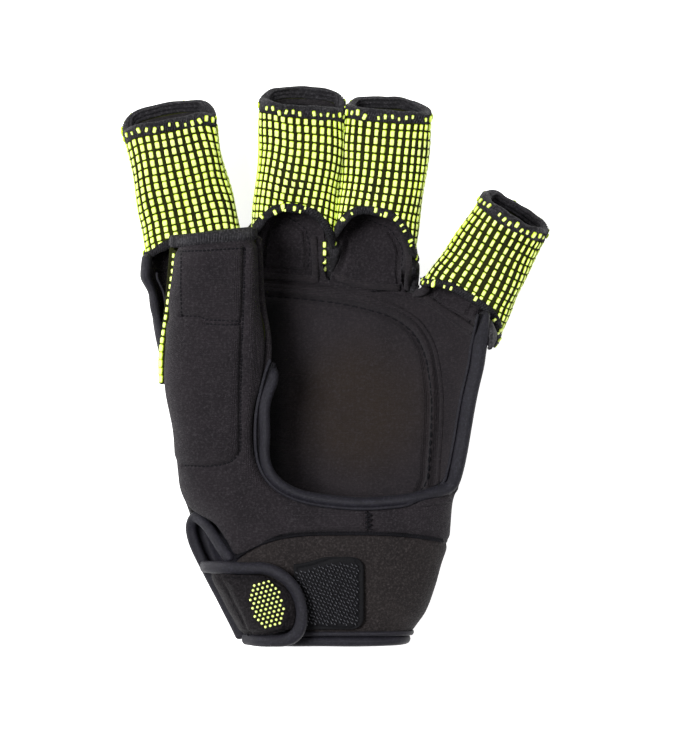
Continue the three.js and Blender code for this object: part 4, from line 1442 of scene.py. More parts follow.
@dataclass
class ThumbAndHeel:
    """The quilted front panel, the heel's other half, the thumb's hem, and the seams on them."""

    finishes: Finishes
    quilt_height: float = 0.7
    upper_box: Array = field(default_factory=lambda: np.array([
        [-62.0, 48.8], [-30.4, 49.2], [-31.0, 25.6], [-62.0, 26.4],
    ]))
    lower_box: Array = field(default_factory=lambda: smooth_line(np.array([
        [-64.0, 25.2], [-44.0, 24.8], [-31.4, 23.6], [-32.0, -8.0], [-32.0, -20.0], [-34.8, -24.2],
        [-40.0, -25.2], [-62.0, -25.2],
    ]), 90))
    long_seam: Array = field(default_factory=lambda: np.array([
        [-29.4, 49.4], [-29.7, 35.0], [-30.1, 24.8], [-30.6, 10.0], [-30.9, -8.0], [-30.9, -21.6],
    ]))
    cross_seams: tuple = field(default_factory=lambda: (
        np.array([[-51.6, 25.8], [-45.0, 25.5], [-43.0, 24.4], [-31.0, 23.9]]),
        np.array([[-43.2, 22.9], [-37.0, 22.5], [-31.4, 22.8]]),
        np.array([[-50.8, -26.2], [-44.0, -26.6], [-38.6, -26.2], [-34.4, -25.0], [-31.4, -22.4]]),
        np.array([[-51.4, 25.4], [-51.8, 36.0], [-51.6, 47.6]]),
    ))

    def front_relief(self, points: Array, u: Array, v: Array) -> Array:
        """The front panel's face: two quilted boxes, their sewn lines, a soft fold and slight creases.

        Args:
            points: the face's points.
            u: their shares across.
            v: their shares along.

        Returns:
            How far each point is raised.
        """
        xy = points[..., :2]
        quilt = plateau(xy, self.upper_box, self.quilt_height, 3.4)
        quilt += plateau(xy, self.lower_box, self.quilt_height, 3.4)
        lines = groove(xy, self.long_seam, 1.5, 0.85)
        for seam in self.cross_seams[:3]:
            lines += groove(xy, seam, 1.0, 0.8)
        fold = np.array([[-27.6, 50.0], [-27.4, 30.0], [-27.2, 12.0], [-28.0, 2.0], [-28.6, -8.0]])
        soft = groove(xy, fold, -0.6, 1.7)
        heel = np.array([[-40.0, -33.0], [-30.0, -36.0], [-20.0, -42.0], [-12.0, -46.0]])
        soft += groove(xy, heel, 0.45, 2.4)
        calm = 1 - np.exp(-((edge_depth(points) / 3) ** 2))
        return quilt + lines + soft + ripple(points, 26, 0.4, SEED + 2) * calm + seam_fall(points, 0.8)

    def panels(self) -> Skin:
        """The front panel and the heel's other half.

        Returns:
            The front panel's outer skin.
        """
        us, vs = even_shares(front_point, 0.3, 120), np.linspace(0, 1, 300)
        form, front, _ = wall(front_point, NEOPRENE, -1, us, vs, outer=self.front_relief)
        make_piece("front_of_thumb_and_heel", form, self.finishes.neoprene, ["front_panel"])
        us, vs = even_shares(side_point, 0.5, 110), np.linspace(0, 1, 50)
        form, _, _ = wall(
            side_point, NEOPRENE, -1, us, vs,
            outer=lambda p, u, v: seam_fall(p, 0.8) + ripple(p, 20, 0.3, SEED + 3),
        )
        make_piece("heel_side", form, self.finishes.neoprene, ["side_panel"])
        return front

    def seams(self, front: Skin) -> None:
        """Stitches on the quilting and the zigzag bar where the heel's halves meet.

        Args:
            front: the front panel's outer skin.
        """
        top = np.array([[-52.4, 48.0], [-42.0, 48.4], [-29.8, 49.2]])
        rows = [self.long_seam, *self.cross_seams, top]
        forms = [sewn_line(front, row, 1.45, (1.25, 0.9, 0.55)) for row in rows]
        make_piece("quilt_stitches", join(forms), self.finishes.thread)
        y = np.linspace(-42.6, -48.6, 8)
        zigzag = np.column_stack([13.4 + 1.1 * np.where(np.arange(len(y)) % 2, 1, -1), y])
        points = np.column_stack([zigzag, np.full(len(y), 41.0)])
        bar = resample(points, step=0.35)
        form = roll(bar, np.tile(UP, (len(bar), 1)), 0.5, 0.8, 6)
        make_piece("heel_bar", form, self.finishes.thread)

    def thumb_hem(self) -> None:
        """The overlocked hem round the thumb's end, its threads standing as fine ribs."""
        us = even_shares(front_point, 0.0, 90)[:-1]
        front = offset(front_point, -NEOPRENE / 2, -1)(us, np.zeros_like(us))
        us = even_shares(thumb_back_point, 0.0, 90)[::-1][:-1]
        back = offset(thumb_back_point, -KNIT / 2, 1)(us, np.zeros_like(us))
        route = np.vstack([front, back]) + [0, 1.9 + SEAM_GAP, 0]
        route = resample(np.vstack([route, route[:1]]), count=421)[:-1]
        route = soften(route, 20, True)
        ups = unit((route - np.array([-40.0, 52.0, 40.5])) * [1, 0, 1])
        uneven = 1 + 0.06 * ripple(route, 11, 1.0, SEED + 12)
        form = roll(route, ups, 4.5 * uneven, 2.7 * uneven, 14, True, 2.6)
        threads = [
            overlock(route + ups * 1.32, ups, 0.95, (3.9, 0.5, 0.5), 0.12),
            overlock(route + ups * 0.9 - [0, 1.9, 0], unit(ups - [0, 0.9, 0]), 1.3, (1.9, 0.5, 0.5), 1.4),
        ]
        make_piece("thumb_hem", join([form, *threads]), self.finishes.hem, ["thumb_hem"])

    def build(self) -> None:
        """Builds all of it."""
        self.seams(self.panels())
        self.thumb_hem()


# ---------------- grip mesh and fingers


def block_grid(sides: int = 3) -> Form:
    """A grip block of its own size: a rounded box outline in three rings under a middle point.

    Args:
        sides: points on each of its four corners.

    Returns:
        The block, its x and y across and along it from -1 to 1 and its z its height, about 1, with its
        painted highlight under "pale".
    """
    corner = np.linspace(0, np.pi / 2, sides)
    turns = np.concatenate([corner + k * np.pi / 2 for k in range(4)])
    centre = np.repeat(np.array([[1, 1], [-1, 1], [-1, -1], [1, -1]]), sides, 0) * [0.55, 0.72]
    outline = centre + np.column_stack([0.45 * np.cos(turns), 0.28 * np.sin(turns)])
    count = len(outline)
    # Each ring: its scale, its height and its "pale" value, the share of painted highlight, which is
    # strongest at the top's middle point.
    rings = [(1.0, -0.5, 0.0), (1.0, 0.55, 0.0), (0.72, 1.0, 0.7)]
    across = np.concatenate([outline[:, 0] * s for s, _, _ in rings] + [[0, 0]])
    along = np.concatenate([outline[:, 1] * s for s, _, _ in rings] + [[0, 0]])
    height = np.concatenate([np.full(count, h) for _, h, _ in rings] + [[-0.5, 1.12]])
    pale = np.concatenate([np.full(count, p) for _, _, p in rings] + [[0.0, 1.0]])
    tris = caps(count, 2 * count, 3 * count)
    local = Form(np.column_stack([across, along, height]), grid_quads(3, count, True), tris)
    return local.mark("pale", pale)


def blocks_on(
    surface: Surface,
    side: int,
    middles: Array,
    halves: Array,
    closed: bool,
    slopes: Union[float, Array] = 0.0,
) -> Form:
    """Grip blocks laid on a surface, each bent with it.

    Args:
        surface: what carries them.
        side: 1 or -1, which turns the surface's normal outwards.
        middles: the (u, v) of each block.
        halves: half of each block's (u, v) extent.
        closed: whether the surface goes round in u.
        slopes: how much a block's v changes with u.

    Returns:
        One form of all the blocks.
    """
    local = block_grid()
    across, along, up = local.points.T
    u = middles[:, :1] + halves[:, :1] * across
    v = middles[:, 1:] + halves[:, 1:] * along + (u - middles[:, :1]) * np.reshape(slopes, (-1, 1))
    points = surface(u, v) + normal_at(surface, u, v, side, closed) * (BLOCK_HEIGHT * up)[None, :, None]
    blocks = local.repeated(points)
    return blocks.turned() if Form(points[0], local.quads, local.tris).inside_out() else blocks


@dataclass
class Finger:
    """One finger: its root gutter, its tube of grip mesh, the bands at both ends and the foam on its back.

    Attributes:
        finishes: the glove's finishes.
        name: the finger's name, which its pieces' names begin with.
        side: the share of its length at which the mesh begins on its sides.
        arch: how much further up it begins on the palm side and the back.
        slant: how much more on the right than on the left.
        dip: how far it drops on the right.
        edge_from: the x at which the root leaves the back's rim, or none at its left end.
        edge_to: the x up to which it does.
        spread: the angles round the finger, in degrees, that the root's edges meet.
        pad: the shares across the root under which its knuckle pad lies.
        tip: how far the mesh's end tips down on the palm side.
        rows: middle x y z, width and height from root to tip, in millimetres.
        windows: outlines of the padded fields in the root.
        ridges: lines of the tapes in the root.
        columns: grip blocks round the tube.
        block_pitch: millimetres from one row of blocks to the next.
        block_share: a block's width as a share of its column's.
        lean: how far the columns stray sideways at the tip and at the root.
        droop: how far the mesh's end falls back on both sides.
        tilt: how far it falls back on the right alone.
        seed: sets the finger's own unevenness.
    """

    finishes: Finishes
    name: str
    side: float
    arch: float
    slant: float
    dip: float
    edge_from: Optional[float]
    edge_to: float
    spread: tuple[float, float]
    pad: tuple[float, float]
    tip: float
    rows: Array
    windows: tuple = ()
    ridges: tuple = ()
    columns: int = 30
    block_pitch: float = 2.86
    block_share: float = 0.575
    lean: tuple[float, float] = (0.0, 0.0)
    droop: float = 0.02
    tilt: float = 0.0
    seed: int = 0

    def sections(self, v: Array) -> Array:
        """The finger's rows: middle x y z, width and height."""
        return rows_at(self.rows, v)

    def directions(self, v: Array) -> tuple[Array, Array, Array]:
        """The finger's direction, its side direction and the way out of the palm."""
        along = unit(self.sections(v + 0.01)[..., :3] - self.sections(v - 0.01)[..., :3])
        side = unit(np.cross(along, UP))
        return along, side, np.cross(side, along)

    def skin_point(self, angle: Array, v: Array) -> Array:
        """The finger's superellipse at v, with a little slack in it near the mouth.

        Args:
            angle: the angle round it; 0 is its right side and a quarter turn the palm side.
            v: the share of the finger's length.

        Returns:
            The points.
        """
        section = self.sections(v)
        _, side, out = self.directions(v)
        power = mix(FINGER_POWER, MOUTH_POWER, ease(v, 0.7, 1.0))
        place = signed_power(np.cos(angle), 2 / FINGER_POWER)
        rise = np.sign(np.sin(angle)) * np.maximum(1 - np.abs(place) ** power, 0) ** (1 / power)
        slack = ease(v, 0.7, 1.0) * (
            0.55 * np.sin(2 * angle + 1.9 * self.seed) + 0.45 * np.sin(3 * angle + 2.3 * self.seed)
        ) + ease(v, 0.3, 0.5) * 0.3 * np.sin(2 * angle + 14 * v + self.seed)
        across = (section[..., 3] / 2 + slack) * place
        up = (section[..., 4] / 2 + slack) * rise
        return section[..., :3] + side * across[..., None] + out * up[..., None]

    def mesh_start(self, angle: Array) -> Array:
        """Where the mesh begins: higher on the palm side, slanted from side to side."""
        dropped = self.dip * np.maximum(np.cos(angle), 0) ** 10
        return self.side + self.arch * np.sin(angle) ** 2 + self.slant * np.cos(angle) - dropped

    def mesh_end(self, angle: Array) -> Array:
        """Where the mesh ends under the tip's hem."""
        right = np.cos(angle)
        return TIP_END - self.tip * np.sin(angle) - self.droop * right**4 - self.tilt * right

    def tube(self, u: Array, v: Array) -> Array:
        """The mesh tube: round the finger in u, from its start to its end in v."""
        angle = 2 * np.pi * u
        return self.skin_point(angle, mix(self.mesh_start(angle), self.mesh_end(angle), v))

    def root(self, u: Array, v: Array) -> Array:
        """The root gutter: a Hermite cubic from the back's rim to the mesh, along both their directions.

        Args:
            u: shares across the gutter.
            v: shares from the rim to the mesh.

        Returns:
            The points.
        """
        start = 0.02 if self.edge_from is None else back_share_at(self.edge_from)
        share = mix(start, back_share_at(self.edge_to), u)
        zero = np.zeros_like(share)
        rim = back_point(share, zero)
        leave = unit(rim - back_point(share, zero + 0.02))
        angle = np.radians(mix(*self.spread, u))
        place = self.mesh_start(angle) - 0.028
        mesh = self.skin_point(angle, place)
        arrive = unit(self.skin_point(angle, place + 0.01) - mesh)
        rim = rim + leave * ROOT_GAP
        reach = np.linalg.norm(rim - mesh, axis=-1)[..., None]
        t = v[..., None]
        return (
            rim * (2 * t**3 - 3 * t**2 + 1)
            + leave * (t**3 - 2 * t**2 + t) * reach * ROOT_LEAVE
            + mesh * (3 * t**2 - 2 * t**3)
            + arrive * (t**3 - t**2) * reach * ROOT_ARRIVE
        )

    def root_relief(self, points: Array, u: Array, v: Array) -> Array:
        """The gutter's inner face: padded windows and slight folds."""
        xy = points[..., :2]
        height = -ripple(points, 15, 0.3, SEED + self.seed)
        for window in self.windows:
            height += plateau(xy, np.array(window), 1.2, 1.1)
        return height

    def gutter(self) -> None:
        """The neoprene root and the stitches in its windows."""
        us = even_shares(self.root, 0.6, 110)
        form, _, inner = wall(
            self.root, NEOPRENE, -1, us, np.linspace(0, 1, 90),
            outer=lambda p, u, v: ripple(p, 18, 0.4, SEED + 20 + self.seed) + seam_fall(p, 0.6),
            inner=self.root_relief,
        )
        make_piece(f"{self.name}_root", form, self.finishes.neoprene, [f"{self.name}_root"])
        tapes = [laid_tape(inner, smooth_line(np.array(ridge), 40), 2.4, 2.1) for ridge in self.ridges]
        if tapes:
            make_piece(f"{self.name}_root_tapes", join(tapes), self.finishes.lining)
        rows = [sewn_line(inner, np.array(r)[1:-1], 2.0, (1.5, 0.5, 0.45)) for r in self.windows]
        if rows:
            make_piece(f"{self.name}_root_stitches", join(rows), self.finishes.thread)

    def longest(self) -> float:
        """The share of the finger's length that the mesh covers where it is longest."""
        return TIP_END - (self.side - abs(self.slant) - self.dip)

    def course(self, u: Array, s: Array) -> Array:
        """The v of a course of knit: level at the tip, and leaning with the arch towards the root.

        Args:
            u: shares round the tube.
            s: the course's share of the knit's length from the tip.

        Returns:
            The v of the tube there.
        """
        angle = 2 * np.pi * u
        start, end = self.mesh_start(angle), self.mesh_end(angle)
        longest = self.longest()
        place = end - s * longest + 0.04 * np.maximum(longest - (end - start), 0) * s**2
        return (place - start) / (end - start)

    def mesh(self) -> None:
        """The black knit tube, its bars raised between the columns, and the neon blocks printed on it."""
        shares = even_shares(self.tube, 0.5, 5 * self.columns + 1)[:-1]
        length = run_of(self.sections(np.linspace(0, 1, 200))[:, :3])[-1] * self.longest()
        count = int(round(length / self.block_pitch))

        def bars(points: Array, u: Array, v: Array) -> Array:
            """Cords of knit between the columns of blocks."""
            share = np.broadcast_to(np.arange(len(shares)) / len(shares), u.shape)
            column = (share - self.warp(share, 1 - v)) * self.columns
            return cords(column) + ripple(points, 12, 0.25, self.seed)

        form, _, _ = wall(self.tube, KNIT, -1, shares, np.linspace(0, 1, 70), True, outer=bars, bulge=0.5)
        make_piece(f"{self.name}_knit", form, self.finishes.knit, [f"{self.name}_tube"])

        fine = even_shares(self.tube, 0.5, FINE_STEPS)
        column, row = np.meshgrid(np.arange(self.columns), np.arange(count), indexing="ij")
        column, row = column.ravel(), row.ravel()
        draw = np.random.default_rng(SEED + self.seed)
        t, s = (column + 0.5) / self.columns, (row + 0.5) / count
        t = t + self.warp(t, s) + draw.normal(0, 0.0006, len(t))
        s = s + draw.normal(0, 0.0012, len(t))
        wide = self.block_share * draw.uniform(0.46, 0.54, len(t)) / self.columns
        even, half_long, least = np.linspace(0, 1, FINE_STEPS), 0.41 / count, 0.35
        low_u, high_u = (np.interp(t + half, even, fine) for half in (-wide, wide))
        u = (low_u + high_u) / 2
        v1, v0 = self.course(u, s - half_long), self.course(u, s + half_long)
        keep = v1 > least * (v1 - v0)
        slopes = (self.course(high_u, s) - self.course(low_u, s)) / (high_u - low_u)
        middles = np.column_stack([u, (v0 + v1) / 2])[keep]
        halves = np.column_stack([(high_u - low_u) / 2, (v1 - v0) / 2])[keep]
        form = blocks_on(self.tube, -1, middles, halves, True, slopes[keep])
        make_piece(f"{self.name}_grip_blocks", form, self.finishes.neon)

    def warp(self, t: Array, s: Array) -> Array:
        """How far a column strays sideways: it leans at the tip and towards the root and wavers a little."""
        tip, root = self.lean
        pull = tip * np.clip(1 - s / 0.4, 0, 1) ** 2 + root * np.clip((s - 0.25) / 0.75, 0, 1) ** 1.6
        waver = 0.0022 * np.sin(5 * s + 9 * t + self.seed) * np.sin(np.pi * t)
        return pull * np.sin(2 * np.pi * np.clip(t, 0, 1)) ** 2 + waver

    def ring(self, v: float, count: int) -> tuple[Array, Array]:
        """Evenly set points round the tube at v, and its normals there."""
        fine = even_shares(self.tube, v, count + 1)[:-1]
        place = np.full(count, v)
        return self.tube(fine, place), unit(normal_at(self.tube, fine, place, -1, True))

    def bands(self) -> None:
        """The hem at the mouth, the lining behind it, and the overlocked band where mesh meets root."""
        count = 400
        rim, normal = self.ring(1.0, count)
        along, across, out = self.directions(np.array(1.0))
        section = self.sections(np.array(1.0))
        off = rim - section[:3]
        ends = ease(np.abs(off @ across) / (section[3] / 2), 0.72, 1.0)
        near = np.clip((off @ out) / (section[4] / 2), 0, 1) * (1 - ends)
        rim = rim - normal * (KNIT / 2 - 0.15 + 0.7 * ends)[:, None]
        rim = rim + along * (HEM_ALONG / 2 - 0.1 - 0.25 * near)[:, None]
        rim = rim + normal * ripple(rim, 7, 0.4, self.seed + 62)[:, None]
        rim = rim + along * ripple(rim, 9, 0.35, self.seed + 61)[:, None]
        uneven = 1 + 0.16 * ripple(rim, 8, 1.0, self.seed + 60)
        high = 2.0 + 1.4 * ends + 0.3 * near
        wide = HEM_ALONG * uneven * (1 + 0.1 * ends + 0.16 * near)
        form = roll(rim, normal, wide, high * uneven, 16, True, 2.2)
        threads = [overlock(rim + normal * high[:, None] * 0.46, normal, 0.9, (3.9, 0.55, 0.65), 0.35)]
        for place, thick in ((1.5, 1.0), (0.1, 1.1), (-1.4, 1.2)):
            route = rim - normal * (high * 0.42 + 0.3 * ripple(rim, 8, 1.0, self.seed + 64))[:, None]
            threads.append(roll(route + along * place, normal, thick * uneven, 1.1 * uneven, 8, True))
        name = f"{self.name}_hem"
        make_piece(name, join([form, *threads]), self.finishes.hem, [name])

        def folds(points: Array, u: Array, v: Array) -> Array:
            """Three soft ridges round the lining and a slack unevenness."""
            ridges = sum(1.1 * np.exp(-(((v - at) / 0.07) ** 2)) for at in (0.28, 0.56, 0.8))
            return ridges + ripple(points, 8, 0.4, self.seed + 70)

        inside_tube = part_of(offset(self.tube, -KNIT - 0.1, -1, True), 0, 1, 0.74, 0.995)
        us = even_shares(inside_tube, 1.0, 91)[:-1]
        form, _, _ = wall(inside_tube, 0.5, -1, us, np.linspace(0, 1, 30), True, inner=folds)
        make_piece(f"{self.name}_lining", form, self.finishes.inside)

        draw = np.random.default_rng(SEED + 40 + self.seed)
        at = ((np.arange(self.columns) + 0.5) / self.columns * count).astype(int) % count
        at = at[draw.uniform(size=len(at)) < 0.9]
        speck = block_stamp(1.35, 2.3, 0.6)
        place = rim[at] + normal[at] * (high[at, None] / 2 + 0.12)
        place = place - along * draw.uniform(-0.8, 0.5, len(at))[:, None]
        tilt = unit(along + np.cross(normal[at], along) * draw.normal(0, 0.2, len(at))[:, None])
        forms = [stamp(speck, place, tilt, normal[at], draw.uniform(0.55, 1.0, len(at)))]

        line, normal = self.ring(0.004, count)
        line = soften(line, 3, True)
        uneven = 1 + 0.2 * ripple(line, 6, 1.0, self.seed)
        form = roll(line, normal, 3.3 * uneven, 2.0 * uneven, 12, True, 2.2)
        threads = [overlock(line + normal * 0.92 * uneven[:, None], normal, 0.9, (3.2, 0.5, 0.6), 0.45)]
        make_piece(f"{self.name}_arch_band", join([form, *threads]), self.finishes.overlock)
        at = draw.integers(0, count, 24)
        across = unit(np.cross(np.roll(line, -1, 0) - np.roll(line, 1, 0), normal))[at]
        place = line[at] + normal[at] * 1.0 + across * draw.uniform(-0.9, 0.9, len(at))[:, None]
        forms.append(stamp(speck, place, across, normal[at], draw.uniform(0.4, 0.95, len(at))))
        make_piece(f"{self.name}_specks", join(forms), self.finishes.neon)

    def padding(self) -> None:
        """The foam on the finger's back and on its knuckle, each crowned, with sewn channels across."""
        tube = part_of(self.tube, 0.64, 0.86, 0.06, 0.92)
        knuckle = part_of(self.root, self.pad[0], self.pad[1], 0.14, 0.9)
        for label, surface, thick, channels in (
            ("finger_pad", tube, FINGER_PAD, (0.36, 0.68)),
            ("knuckle_pad", knuckle, KNUCKLE_PAD, (0.52,)),
        ):
            form = foam_block(surface, thick, -1, channels)
            name = f"{self.name}_{label}"
            make_piece(name, form, self.finishes.foam, [name])

    def build(self) -> None:
        """Builds the whole finger."""
        self.gutter()
        self.mesh()
        self.bands()
        self.padding()


def block_stamp(wide: float, long: float, high: float) -> Form:
    """A loose grip block about its own origin, long along x, wide across y and high up z."""
    local = block_grid(2)
    points = local.points[:, [1, 0, 2]] * [long / 2, wide / 2, high]
    return Form(points, local.quads, local.tris, dict(local.values)).outward()


def overlock(
    line: Array, normals: Array, pitch: float, size: tuple[float, float, float], slant: float,
) -> Form:
    """Threads laid across a closed line at every pitch, each a bead turned from square by a slant.

    Args:
        line: the line's points.
        normals: the normals of the cloth there.
        pitch: millimetres from one thread to the next.
        size: a thread's length, width and height.
        slant: how far a thread leans along the line, as a share of its length.

    Returns:
        The threads.
    """
    both = resample(np.vstack([np.hstack([line, normals]), np.hstack([line[:1], normals[:1]])]), step=pitch)
    at, up = both[:-1, :3], unit(both[:-1, 3:])
    way = unit(np.diff(both[:, :3], axis=0))
    return stamp(bead(*size), at, unit(np.cross(up, way) + way * slant), up)


def foam_block(surface: Surface, thick: float, side: int, channels: Sequence[float]) -> Form:
    """A crowned foam block on a surface: low at its rim, full in the middle, pinched at its channels.

    Args:
        surface: what it lies on.
        thick: its full height.
        side: 1 or -1, which turns the surface's normal outwards.
        channels: the shares v of its sewn channels.

    Returns:
        The closed form.
    """

    def crown(points: Array, u: Array, v: Array) -> Array:
        """The block's height at u and v."""
        depth = edge_depth(points)
        height = thick * (0.4 + 0.6 * np.sqrt(np.clip(1 - (1 - np.clip(depth / 4.5, 0, 1)) ** 2, 0, 1)))
        run = np.linalg.norm(np.diff(points, axis=0), axis=-1).sum(0).mean()
        for share in channels:
            height *= 1 - 0.5 * np.exp(-(((v - share) * run / 1.5) ** 2))
        return height + ripple(points, 10, 0.2, SEED)

    base = offset(surface, PAD_GAP, side)
    return wall(base, 0.0, side, np.linspace(0, 1, 56), np.linspace(0, 1, 80), outer=crown, bulge=0.7)[0]


FINGERS = (
    dict(
        name="index", side=0.2, arch=0.1, slant=0, dip=0, edge_from=None, edge_to=-31.6,
        spread=(185, 360), pad=(0.3, 0.84), tip=0.015, seed=1, lean=(0.0, -0.014), columns=31,
        block_pitch=2.49, droop=0.07,
        rows=np.array([
            [-47.4, 42.0, 19.4, 33.0, 19.6], [-47.8, 49.5, 20.4, 33.4, 18.6], [-49.7, 60.5, 22.8, 33.0, 17.4],
            [-52.2, 72.5, 27.0, 32.0, 16.4], [-54.6, 84.0, 32.0, 31.2, 15.8], [-56.6, 94.6, 36.6, 30.8, 15.6],
        ]),
    ),
    dict(
        name="middle", side=0.31, arch=0.19, slant=0, dip=0, edge_from=-30.4, edge_to=-0.6,
        spread=(180, 360), pad=(0.18, 0.82), tip=0.015, seed=2, lean=(0.014, 0.05), columns=33,
        block_pitch=2.62, droop=0.04, tilt=0.022,
        rows=np.array([
            [-14.0, 36.2, 19.2, 27.0, 19.6], [-13.8, 46.0, 20.2, 27.8, 18.6], [-12.5, 59.0, 22.4, 28.9, 17.4],
            [-11.1, 73.0, 26.6, 29.2, 16.4], [-9.7, 87.0, 32.0, 29.6, 15.8], [-9.2, 100.0, 37.4, 29.6, 15.6],
        ]),
        windows=(((-23.8, 43.6), (-7.8, 42.9), (-7.0, 50.0), (-8.6, 57.0), (-15.0, 61.0), (-23.0, 58.0)),),
        ridges=(((-5.2, 38.6), (-5.0, 46.0), (-5.6, 53.6)), ((-25.0, 40.4), (-14.0, 39.6), (-5.2, 38.8))),
    ),
    dict(
        name="ring", side=0.31, arch=0.2, slant=-0.033, dip=0, edge_from=0.6, edge_to=27.4,
        spread=(180, 360), pad=(0.18, 0.82), tip=0, seed=3, lean=(0.0, 0.028), columns=32,
        block_pitch=2.72, block_share=0.53,
        rows=np.array([
            [14.2, 33.6, 19.2, 27.0, 19.6], [15.0, 44.0, 20.2, 27.8, 18.6], [16.3, 57.0, 22.4, 28.8, 17.4],
            [18.1, 71.0, 26.4, 29.2, 16.4], [19.3, 84.6, 31.4, 29.9, 15.8], [20.3, 97.2, 36.0, 30.0, 15.6],
        ]),
        windows=(((3.0, 36.6), (14.0, 34.8), (25.0, 35.2), (25.6, 50.0), (21.0, 57.0), (13.0, 60.0),
                  (5.0, 57.0)),),
        ridges=(((2.6, 40.0), (12.0, 37.0), (24.0, 36.0)), ((27.2, 36.0), (27.8, 46.0), (26.0, 54.0))),
    ),
    dict(
        name="little", side=0.26, arch=0.13, slant=-0.022, dip=0.14, edge_from=29.4, edge_to=52.6,
        spread=(184, 320), pad=(0.14, 0.7), tip=0, seed=4, columns=30, lean=(0.006, 0.006),
        block_pitch=2.72, block_share=0.43,
        rows=np.array([
            [42.4, 21.6, 20.2, 31.0, 19.8], [45.4, 27.2, 20.8, 32.4, 18.8], [49.8, 35.4, 22.8, 31.2, 17.8],
            [54.4, 43.6, 26.2, 29.0, 16.8], [59.2, 52.0, 30.4, 26.8, 16.0], [64.1, 60.4, 34.4, 25.6, 15.6],
        ]),
        windows=(((36.6, 34.0), (48.6, 23.6), (54.0, 30.0), (46.0, 38.0), (39.0, 38.0)),),
    ),
)


@dataclass
class FingerWebs:
    """The seam along the back's rim, the webs between the roots and the gusset beside the little finger."""

    finishes: Finishes
    fingers: Sequence[Finger]

    def rim_seam(self) -> None:
        """The piped seam that joins the finger roots to the back, over the gap between them."""
        share = even_shares(back_point, 0.0, 500)
        zero = np.zeros_like(share)
        leave = unit(back_point(share, zero) - back_point(share, zero + 0.02))
        normal = normal_at(back_point, share, zero, 1)
        line = back_point(share, zero) + leave * ROOT_GAP / 2 - normal * NEOPRENE / 2
        high = (NEOPRENE + 0.7) * (1 + 0.05 * ripple(line, 12, 1.0, SEED + 90))
        form = roll(line[6:-4], normal[6:-4], 2.5, high[6:-4], 12, False, 3.0)
        make_piece("knuckle_seam", form, self.finishes.neoprene)

    def webs(self) -> None:
        """The folded edges between neighbouring roots, wide where the roots stand apart."""
        forms = []
        for one, two, reach in zip(self.fingers[:-1], self.fingers[1:], (0.9, 0.97, 0.3)):
            v = np.linspace(0.0, reach, 90)
            a, b = one.root(np.ones(90), v), two.root(np.zeros(90), v)
            gap = np.linalg.norm(b - a, axis=1)
            ups = np.tile(UP, (90, 1))
            uneven = 1 + 0.1 * ripple(a, 6, 1.0, one.seed)
            middle, way = (a + b) / 2, unit(b - a + 1e-6)
            forms += [
                roll(middle - UP * 0.3, ups, (gap + 2.6) * uneven, 2.8 * uneven, 14, False, 2.4),
                stamp(bead(2.6, 0.5, 0.5), (middle + UP)[::4], way[::4], ups[::4]),
            ]
        make_piece("finger_webs", join(forms), self.finishes.hem)
        x, y = -1.9, np.array([51.0, 48.2, 45.4, 42.8])
        left, right = self.fingers[1].root, self.fingers[2].root
        share = np.linspace(0, 1, 60)
        v = np.interp(y, left(np.ones(60), share)[:, 1], share)
        z = ((left(np.ones(4), v) + right(np.zeros(4), v)) / 2)[:, 2] + 0.9
        at = np.column_stack([np.full(4, x), y, z])
        form = stamp(block_stamp(1.2, 2.1, 0.5), at, np.tile([0.0, 1.0, 0.0], (4, 1)), np.tile(UP, (4, 1)))
        make_piece("web_specks", form, self.finishes.neon)

    def patch(self, name: str, near: Array, far: Array, swell: Array, side: int) -> None:
        """An overlocked patch between two lines, swelling out in its middle.

        Args:
            name: the patch's name.
            near: the line at its one side.
            far: the line at its other side, in the same direction.
            swell: how far and which way its middle stands out.
            side: 1 or -1, which turns its normal outwards.
        """
        flat = between(*(resample(soften(line, 3), count=60) for line in (near, far)))

        def surface(u: Array, v: Array) -> Array:
            """Straight between the lines, plus the swell by the sines of both shares."""
            return flat(u, v) + swell * (np.sin(np.pi * u) * np.sin(np.pi * v))[..., None]

        form, _, _ = wall(
            surface, 2.0, side, np.linspace(0, 1, 40), np.linspace(0, 1, 70),
            outer=lambda p, u, v: 0.3 * np.sin(v * 75) + ripple(p, 5, 0.35, SEED), bulge=0.9,
        )
        make_piece(name, form, self.finishes.hem)

    def gussets(self) -> None:
        """The overlocked patches on the ring finger's right and between the little finger and the rim."""
        ring, little = self.fingers[2:]
        t = np.linspace(1, 0, 50)
        one, zero = np.ones(50), np.zeros(50)
        rim = back_point(np.ones(24), np.linspace(0.0, 0.1, 24)) + [0.3, 0.0, 0.6]
        turn = np.radians(np.linspace(322, 392, 60))
        far = little.skin_point(turn, little.mesh_start(turn) - 0.012)
        self.patch("little_gusset", np.vstack([little.root(one, t), rim]), far, np.array([0.5, -0.6, 0.8]), 1)
        turn = np.radians(np.array([362.0]))
        top = ring.skin_point(turn, ring.mesh_start(turn) - 0.01)
        low = (ring.root(one[:1], zero[:1]) + little.root(zero[:1], zero[:1])) / 2 + [0.8, 0.6, 1.0]
        far = resample(np.vstack([top, low]), count=50)
        self.patch("ring_gusset", ring.root(one, t), far, np.array([0.8, 0.3, 0.4]), -1)
        knobs = far + [0.3, 0.0, 0.6]
        swell = 3.0 * (1 + 0.22 * np.sin(np.linspace(0, 5 * 2 * np.pi, 50)))
        form = roll(knobs, np.tile(UP, (50, 1)), swell, swell, 14)
        make_piece("ring_edge", form, self.finishes.hem)

    def build(self) -> None:
        """Builds all of it."""
        self.rim_seam()
        self.webs()
        self.gussets()


